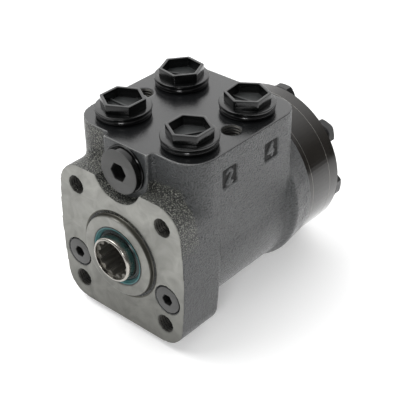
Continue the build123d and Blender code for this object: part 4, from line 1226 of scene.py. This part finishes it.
@dataclass
class Drum:
    """Plate, gear ring and end cover, clamped by seven bolts, all under one coat of black."""

    stock: Stock
    radius: float = 42.7
    ring_front: float = 104.0
    cover_front: float = 119.0
    back: float = 127.0
    washer_r: float = 7.8
    washer_back: float = 128.5
    head_flats: float = 13.0
    head_back: float = 133.8
    bolt_reach: float = 34.75
    bolt_r: float = 4.0
    bolt_front: float = 84.0
    bolt_count: int = 7
    # How far from the end of the head, and how deep the bevel bites there
    head_bevel: Sequence[Point] = ((1, 0), (0.75, 0.02), (0.5, 0.16), (0.25, 0.42), (0.05, 0.8), (0, 1.1))

    def bolt_centre(self, number: int) -> Point:
        """Middle of a bolt."""
        return spun((self.bolt_reach, 0), 90 + 360 / self.bolt_count * number)

    def shell(self, node: str, name: str, slot: str) -> None:
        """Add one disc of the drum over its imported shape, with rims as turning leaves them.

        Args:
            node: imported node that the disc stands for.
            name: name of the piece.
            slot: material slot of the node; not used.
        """
        mesh = packed_mesh(node, self.stock.several("drum", "turned"))
        shell = bmesh.new()
        shell.from_mesh(mesh)
        bmesh.ops.remove_doubles(shell, verts=shell.verts, dist=1e-6)
        # Only what the paint reached is black: the outside and the back of the cover
        for face in shell.faces:
            middle = face.calc_center_median() / MM
            outside = math.hypot(middle.x, middle.z) > self.radius - 1.2
            face.material_index = 0 if outside or middle.y > self.back - 0.9 else 1
        shell.to_mesh(mesh)
        shell.free()
        stand_for(add_piece(name, mesh, "casing"), [node])

    def joint_line(self, number: int, along: float) -> None:
        """Add the bright line where two discs meet and the paint has cracked off the edge.

        Args:
            number: number of the joint from the front.
            along: place of the joint.
        """
        draft = Draft()
        high, low = self.radius + 0.03, self.radius - 0.5
        line = [(low, along - 0.14), (high, along - 0.1), (high, along + 0.1), (low, along + 0.14)]
        draft.turned(line, count=192)
        piece = draft.piece(f"drum_joint_line_{number}", [self.stock.get("joint")], "casing")

    def bolt(self, number: int) -> None:
        """Add one bolt with its washer.

        Args:
            number: place in the bolt circle, from 0.
        """
        centre = self.bolt_centre(number)
        draft = Draft()
        hole = circle(self.bolt_r + 0.2, centre, 32)
        draft.slab(circle(self.washer_r, centre, 64), [hole], self.back, self.washer_back, 0.3, 0.05)
        corner_r = self.head_flats / 2 / math.cos(math.pi / 6)
        # Place along each side of the head, and how far the bevel has cut in there
        sides = [(self.washer_back, 0.25), (self.washer_back + 0.25, 0.0)]
        sides += [(self.head_back - before_end, drop) for before_end, drop in self.head_bevel]
        rings: list[list[int]] = []
        outline = self.head_outline(centre, number * 17.0)
        for along, drop in sides:
            # The bevel is a cone, so it bites the corners first and leaves arcs on the flats
            reach = corner_r - drop * 1.35
            ring = []
            for x, y in outline:
                u, v = x - centre[0], y - centre[1]
                share = min(1.0, reach / math.hypot(u, v))
                ring.append((centre[0] + u * share, centre[1] + v * share))
            rings.append(draft.ring(ring, along))
        draft.skin(rings)
        draft.face(rings[0])
        draft.face(list(reversed(rings[-1])))
        top, bevel, tip = self.washer_back + 0.1, self.bolt_front + 0.5, self.bolt_front
        shank = [(0, top), (self.bolt_r, top), (self.bolt_r, bevel), (self.bolt_r - 0.5, tip), (0, tip)]
        draft.turned(shank, centre, 32)
        piece = draft.piece(f"cover_hex_bolt_{number + 1}", [self.stock.get("black_oxide")], "casing")
        stand_for(piece, ["cover_bolts", "bolt_washers"])

    def head_outline(self, centre: Point, turn: float) -> list[Point]:
        """Outline of a bolt head with enough points on each flat to draw the arcs of its bevel.

        Args:
            centre: middle of the bolt.
            turn: direction of one corner, in degrees.

        Returns:
            The points, counter-clockwise.
        """
        corners = hexagon(self.head_flats, centre, turn)
        outline: list[Point] = []
        for i, (x, y) in enumerate(corners):
            ahead = corners[(i + 1) % len(corners)]
            for j in range(8):
                outline.append((x + (ahead[0] - x) * j / 8, y + (ahead[1] - y) * j / 8))
        return outline

    def build(self) -> None:
        """Build the three discs and the seven bolts."""
        self.shell("distributor_plate", "plate_disc", "cover_paint")
        self.shell("gear_ring", "gear_ring_disc", "cover_paint")
        self.shell("end_cover", "cover_disc", "cover_paint")
        for number, along in enumerate((self.ring_front, self.cover_front)):
            self.joint_line(number + 1, along)
        for number in range(self.bolt_count):
            self.bolt(number)


# ---------------------------------------------------------------- transport plugs and their seals


@dataclass
class TransportPlug:
    """Moulded plug that closes one port: a stem, a thin disc and an open hexagon with a rib across it."""

    stock: Stock
    number: int
    centre: Point
    rib_turn: float
    disc_r: float = 14.4
    disc_low: float = 63.1
    disc_high: float = 64.8
    floor_low: float = 63.2
    floor_high: float = 64.3
    flats: float = 20.8
    wall: float = 1.6
    wall_top: float = 69.4
    rib: float = 1.2
    stem_r: float = 9.3
    thread_r: float = 9.9
    stem_end: float = 51.0
    pitch: float = 1.5
    seal_inner: float = 10.2
    seal_outer: float = 14.1
    port_face: float = 60.0

    def build(self) -> None:
        """Build the plug and its sealing ring, which both lift out with it."""
        body = f"plug_{self.number}"
        draft = Draft(Direction.UP)
        # A moulded corner is round, and the wall keeps its thickness round it
        outside = hexagon(self.flats, self.centre, self.rib_turn + 30, 1.1)
        inside = hexagon(self.flats - 2 * self.wall, self.centre, self.rib_turn + 30, 0.7)
        draft.slab(circle(self.disc_r, self.centre, 96), [inside], self.disc_low, self.disc_high, 0.5, 0.05)
        draft.slab(outside, [inside], self.disc_high - 0.1, self.wall_top, 0.28, 0.28)
        reach = self.flats / 2 - self.wall + 0.15
        rib = self.bar(reach, self.rib / 2)
        draft.slab(rib, [], self.floor_high - 0.1, self.floor_high + 0.9, 0.2, 0.1, 1)
        draft.slab(inset(inside, -0.2), [], self.floor_low, self.floor_high, 0.05, 0.05, 1)
        draft.turned(
            [
                (0, self.stem_end + 1.2),
                (6.6, self.stem_end + 1.2),
                (6.9, self.stem_end),
                (8.3, self.stem_end),
                (self.stem_r, self.stem_end + 1.0),
                (self.stem_r, self.disc_low + 0.1),
                (0, self.disc_low + 0.1),
            ],
            self.centre,
            64,
        )
        turns = int((self.port_face - self.stem_end - 1.6) / self.pitch)
        for i in range(turns):
            start = self.stem_end + 1.1 + i * self.pitch
            draft.turned(ridge(self.stem_r, self.thread_r, start, self.pitch), self.centre, 64)
        materials = self.stock.several("plug", "plug_floor")
        piece = draft.piece(f"transport_plug_body_{self.number}", materials, body)
        stand_for(piece, [f"transport_plug_{self.number}"])
        self.seal(body)

    def bar(self, reach: float, half: float) -> list[Point]:
        """Outline of the rib across the hexagon.

        Args:
            reach: half its length.
            half: half its width.

        Returns:
            The points, counter-clockwise.
        """
        corners = ((reach, half), (-reach, half), (-reach, -half), (reach, -half))
        return [spun(corner, self.rib_turn, self.centre) for corner in corners]

    def seal(self, body: str) -> None:
        """Add the rubber ring under the disc, with the flat that the disc and the block press on it.

        Args:
            body: body that the plug rides on.
        """
        middle = (self.seal_inner + self.seal_outer) / 2
        half = (self.seal_outer - self.seal_inner) / 2
        low, high = self.port_face, self.disc_low
        tall = (high - low) / 2
        profile = []
        for i in range(24):
            turn = 2 * math.pi * i / 24
            bulge = min(1.0, abs(math.cos(turn)) ** 0.8)
            radius = middle + math.copysign(half * bulge, math.cos(turn))
            profile.append((radius, (low + high) / 2 + tall * math.sin(turn)))
        draft = Draft(Direction.UP)
        draft.turned(profile, self.centre, 96)
        piece = draft.piece(f"port_seal_ring_{self.number}", [self.stock.get("rubber")], body)
        stand_for(piece, [f"port_seal_{self.number}"])


# ---------------------------------------------------------------- parts inside


# Parts that each of the two shock and suction valves has
VALVE_PARTS = ("shock_ball", "suction_ball", "suction_pin")


@dataclass
class Interior:
    """Parts that only show when something is taken out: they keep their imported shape."""

    stock: Stock
    finishes: dict[str, Sequence[str]] = field(
        default_factory=lambda: {
            "ground": (
                "control_sleeve",
                "spacer_disc",
                "gear_rotor",
                "check_bush",
                "relief_seat",
                "relief_poppet",
            ),
            "bearing": (
                "bearing_outer_race",
                "bearing_inner_race",
                "needle_rollers",
                "cross_pin",
                "check_ball",
                *(f"{part}_{side}" for part in VALVE_PARTS for side in ("left", "right")),
            ),
            "turned": ("drive_shaft", "needle_cage", "relief_adjuster"),
            "spring": ("centering_springs",),
            "rubber": ("shaft_seal", "plate_seal", "ring_seal", "cover_seal"),
        }
    )

    def dress(self) -> None:
        """Give every part inside its finish."""
        for finish, nodes in self.finishes.items():
            for name in nodes:
                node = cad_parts[name]
                for i in range(len(node.material_slots)):
                    node.material_slots[i].material = self.stock.get(finish)
                LOG.info("part %s: %s", name, finish)


@dataclass
class ValveSprings:
    """Helical springs, which in the unit shorten as the ball or poppet that they press on lifts; here each
    keeps its imported length.
    """

    stock: Stock
    springs: Sequence[tuple[str, str]] = (
        ("relief_spring", "relief_lift"),
        ("shock_spring_left", "shock_lift_left"),
        ("shock_spring_right", "shock_lift_right"),
    )
    lift: float = 1.5

    def build(self) -> None:
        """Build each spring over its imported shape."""
        for node, joint in self.springs:
            mesh = packed_mesh(node, [self.stock.get("spring")])
            piece = add_piece(f"{node}_coil", mesh, "casing")
            stand_for(piece, [node])
            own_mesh(piece)


# ---------------------------------------------------------------- camera and light


@dataclass
class Studio:
    """White table in a white room, with soft lamps, and the camera."""

    floor_z: float = -44.8
    floor_reach: float = 3000.0
    azimuth: float = 41.74
    elevation: float = 33.93
    roll: float = -0.87
    aside: float = 39.67
    above: float = 27.07
    distance: float = 529.42
    lens: float = 95.45
    sensor: float = 36.0
    bright_side: tuple[float, float, float] = (-0.58, 0.58, 0.57)

    def axes(self) -> tuple[Vector, Vector, Vector]:
        """Axes of the camera.

        Returns:
            Its right, up and back.
        """
        turn, tilt, roll = (math.radians(a) for a in (self.azimuth, self.elevation, self.roll))
        back = Vector((math.sin(turn) * math.cos(tilt), -math.cos(turn) * math.cos(tilt), math.sin(tilt)))
        right = Vector((math.cos(turn), math.sin(turn), 0))
        up = back.cross(right)
        return (
            right * math.cos(roll) + up * math.sin(roll),
            up * math.cos(roll) - right * math.sin(roll),
            back,
        )

    def camera(self) -> None:
        """Add the camera that all views start from."""
        right, up, back = self.axes()
        place = back * self.distance + right * self.aside + up * self.above
        matrix = Matrix((right, up, back)).transposed().to_4x4()
        matrix.translation = place * MM
        data = bpy.data.cameras.new("camera")
        data.lens = self.lens
        data.sensor_width = self.sensor
        data.clip_start = 0.01
        data.clip_end = 20
        camera = bpy.data.objects.new("camera", data)
        bpy.context.scene.collection.objects.link(camera)
        camera.matrix_world = matrix
        bpy.context.scene.camera = camera

    def floor(self) -> None:
        """Add the white floor, which keeps the object's shadow."""
        mesh = bpy.data.meshes.new("floor")
        reach, level = self.floor_reach * MM, self.floor_z * MM
        corners = [(-reach, -reach), (reach, -reach), (reach, reach), (-reach, reach)]
        mesh.from_pydata([(x, y, level) for x, y in corners], [], [(0, 1, 2, 3)])
        material = bpy.data.materials.new("white table")
        material.use_nodes = True
        add = partial(add_node, material.node_tree)
        place = add("TexCoord", out="Object")
        clouds = add("TexNoise", {"Vector": place, "Scale": per_mm(60.0)})
        tint = coated(add, (0.90, 0.90, 0.90, 1), [((0.92, 0.92, 0.92, 1), clouds)])
        # Far from the unit the table ends: its colour is painted dark there and its glow fades, painted shade
        # of the dim room that the enamel shows towards the horizon
        away = add("VectorMath", {0: place}, "Value", operation="LENGTH")
        fade = {"Value": away, "From Min": 120 * MM, "From Max": 1100 * MM}
        far = add("MapRange", fade, interpolation_type="SMOOTHSTEP")
        # Painted reflection: to glossy rays the table glows, brighter behind the unit than in front of it
        along = add("VectorMath", {0: place, 1: (0.5, 0.86, 0.0)}, "Value", operation="DOT_PRODUCT")
        rise = {"Value": along, "From Min": -140 * MM, "From Max": 140 * MM, "To Max": 0.95}
        rays = add("LightPath").node.outputs
        reflection_glow = zone(add, [(rays["Is Glossy Ray"], 0, 1), (far, 1, 0), (add("MapRange", rise), 0, 1)])
        # What the camera sees is lifted a little, so open floor is white and only the shadow is grey
        white = add("Math", {0: far, 1: 0.3}, operation="ADD")
        lift = add("Math", {0: rays["Is Camera Ray"], 1: white, 2: reflection_glow}, operation="MULTIPLY_ADD")
        wire(
            material.node_tree.nodes["Principled BSDF"],
            {
                "Base Color": coated(add, tint, [((0.12, 0.12, 0.12, 1), far)]),
                "Roughness": 0.9,
                "Specular IOR Level": 0.0,
                "Emission Color": (1, 1, 1, 1),
                "Emission Strength": lift,
            },
        )
        mesh.materials.append(material)
        table = bpy.data.objects.new("floor", mesh)
        bpy.context.scene.collection.objects.link(table)

    def room(self) -> None:
        """Light the world: white to the camera, softer as a light."""
        world = bpy.data.worlds.new("room")
        bpy.context.scene.world = world
        world.use_nodes = True
        add = partial(add_node, world.node_tree)
        # The bright side of the room is behind on the left, and the right side is dim
        place = add("TexCoord", out="Generated")
        toward = add("VectorMath", {0: place, 1: self.bright_side}, "Value", operation="DOT_PRODUCT")
        levels = {"Value": toward, "From Min": 0.1, "From Max": 0.95, "To Min": 0.18, "To Max": 1.75}
        strength = add("MapRange", levels, interpolation_type="SMOOTHSTEP")
        light = add("Background", {"Color": (1, 1, 1, 1), "Strength": strength})
        seen = add("Background", {"Color": (1, 1, 1, 1), "Strength": 1.05})
        mix = add("MixShader", {0: add("LightPath", out="Is Camera Ray"), 1: light, 2: seen})
        wire(world.node_tree.nodes["World Output"], {"Surface": mix})

    def lamp(self, name: str, place: tuple[float, float, float], size: float, power: float) -> None:
        """Add a soft square lamp that points at the middle of the unit.

        Args:
            name: name of the lamp.
            place: where it hangs, in millimetres.
            size: width in millimetres.
            power: power in watts.
        """
        data = bpy.data.lights.new(name, "AREA")
        data.shape = "SQUARE"
        data.size = size * MM
        data.energy = power
        lamp = bpy.data.objects.new(name, data)
        bpy.context.scene.collection.objects.link(lamp)
        position = Vector(place) * MM
        lamp.location = position
        aim = Vector((0, 60 * MM, 10 * MM)) - position
        lamp.rotation_mode = "QUATERNION"
        lamp.rotation_quaternion = aim.to_track_quat("-Z", "Y")

    def build(self) -> None:
        """Set up floor, room, lamps and camera."""
        bpy.context.scene.view_settings.view_transform = "Standard"
        self.floor()
        self.room()
        self.lamp("key", (-300, -200, 700), 500, 2.6)
        self.lamp("front", (420, -640, 420), 180, 2.2)
        self.camera()
        LOG.info("studio ready")


# ---------------------------------------------------------------- the whole unit


@dataclass
class SteeringUnit:
    """The whole unit, sub-assembly by sub-assembly."""

    stock: Stock = field(default_factory=Stock)
    ports: Sequence[tuple[Point, float]] = (
        ((-22.0, 29.0), 179.2),
        ((22.0, 29.0), 60.2),
        ((-22.0, 72.0), 22.2),
        ((22.0, 72.0), 5.1),
    )

    def build(self) -> None:
        """Build and dress every sub-assembly."""
        Casting(self.stock).build()
        InputShaft(self.stock).build()
        FrontPlugs(self.stock).build()
        Drum(self.stock).build()
        for i, (centre, turn) in enumerate(self.ports):
            TransportPlug(self.stock, i + 1, centre, turn).build()
        ValveSprings(self.stock).build()
        Interior(self.stock).dress()


def main() -> None:
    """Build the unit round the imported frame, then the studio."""
    logging.basicConfig(level=logging.INFO, format="%(name)s: %(message)s")
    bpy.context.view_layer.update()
    SteeringUnit().build()
    Studio().build()


if __name__ == "__main__":
    main()
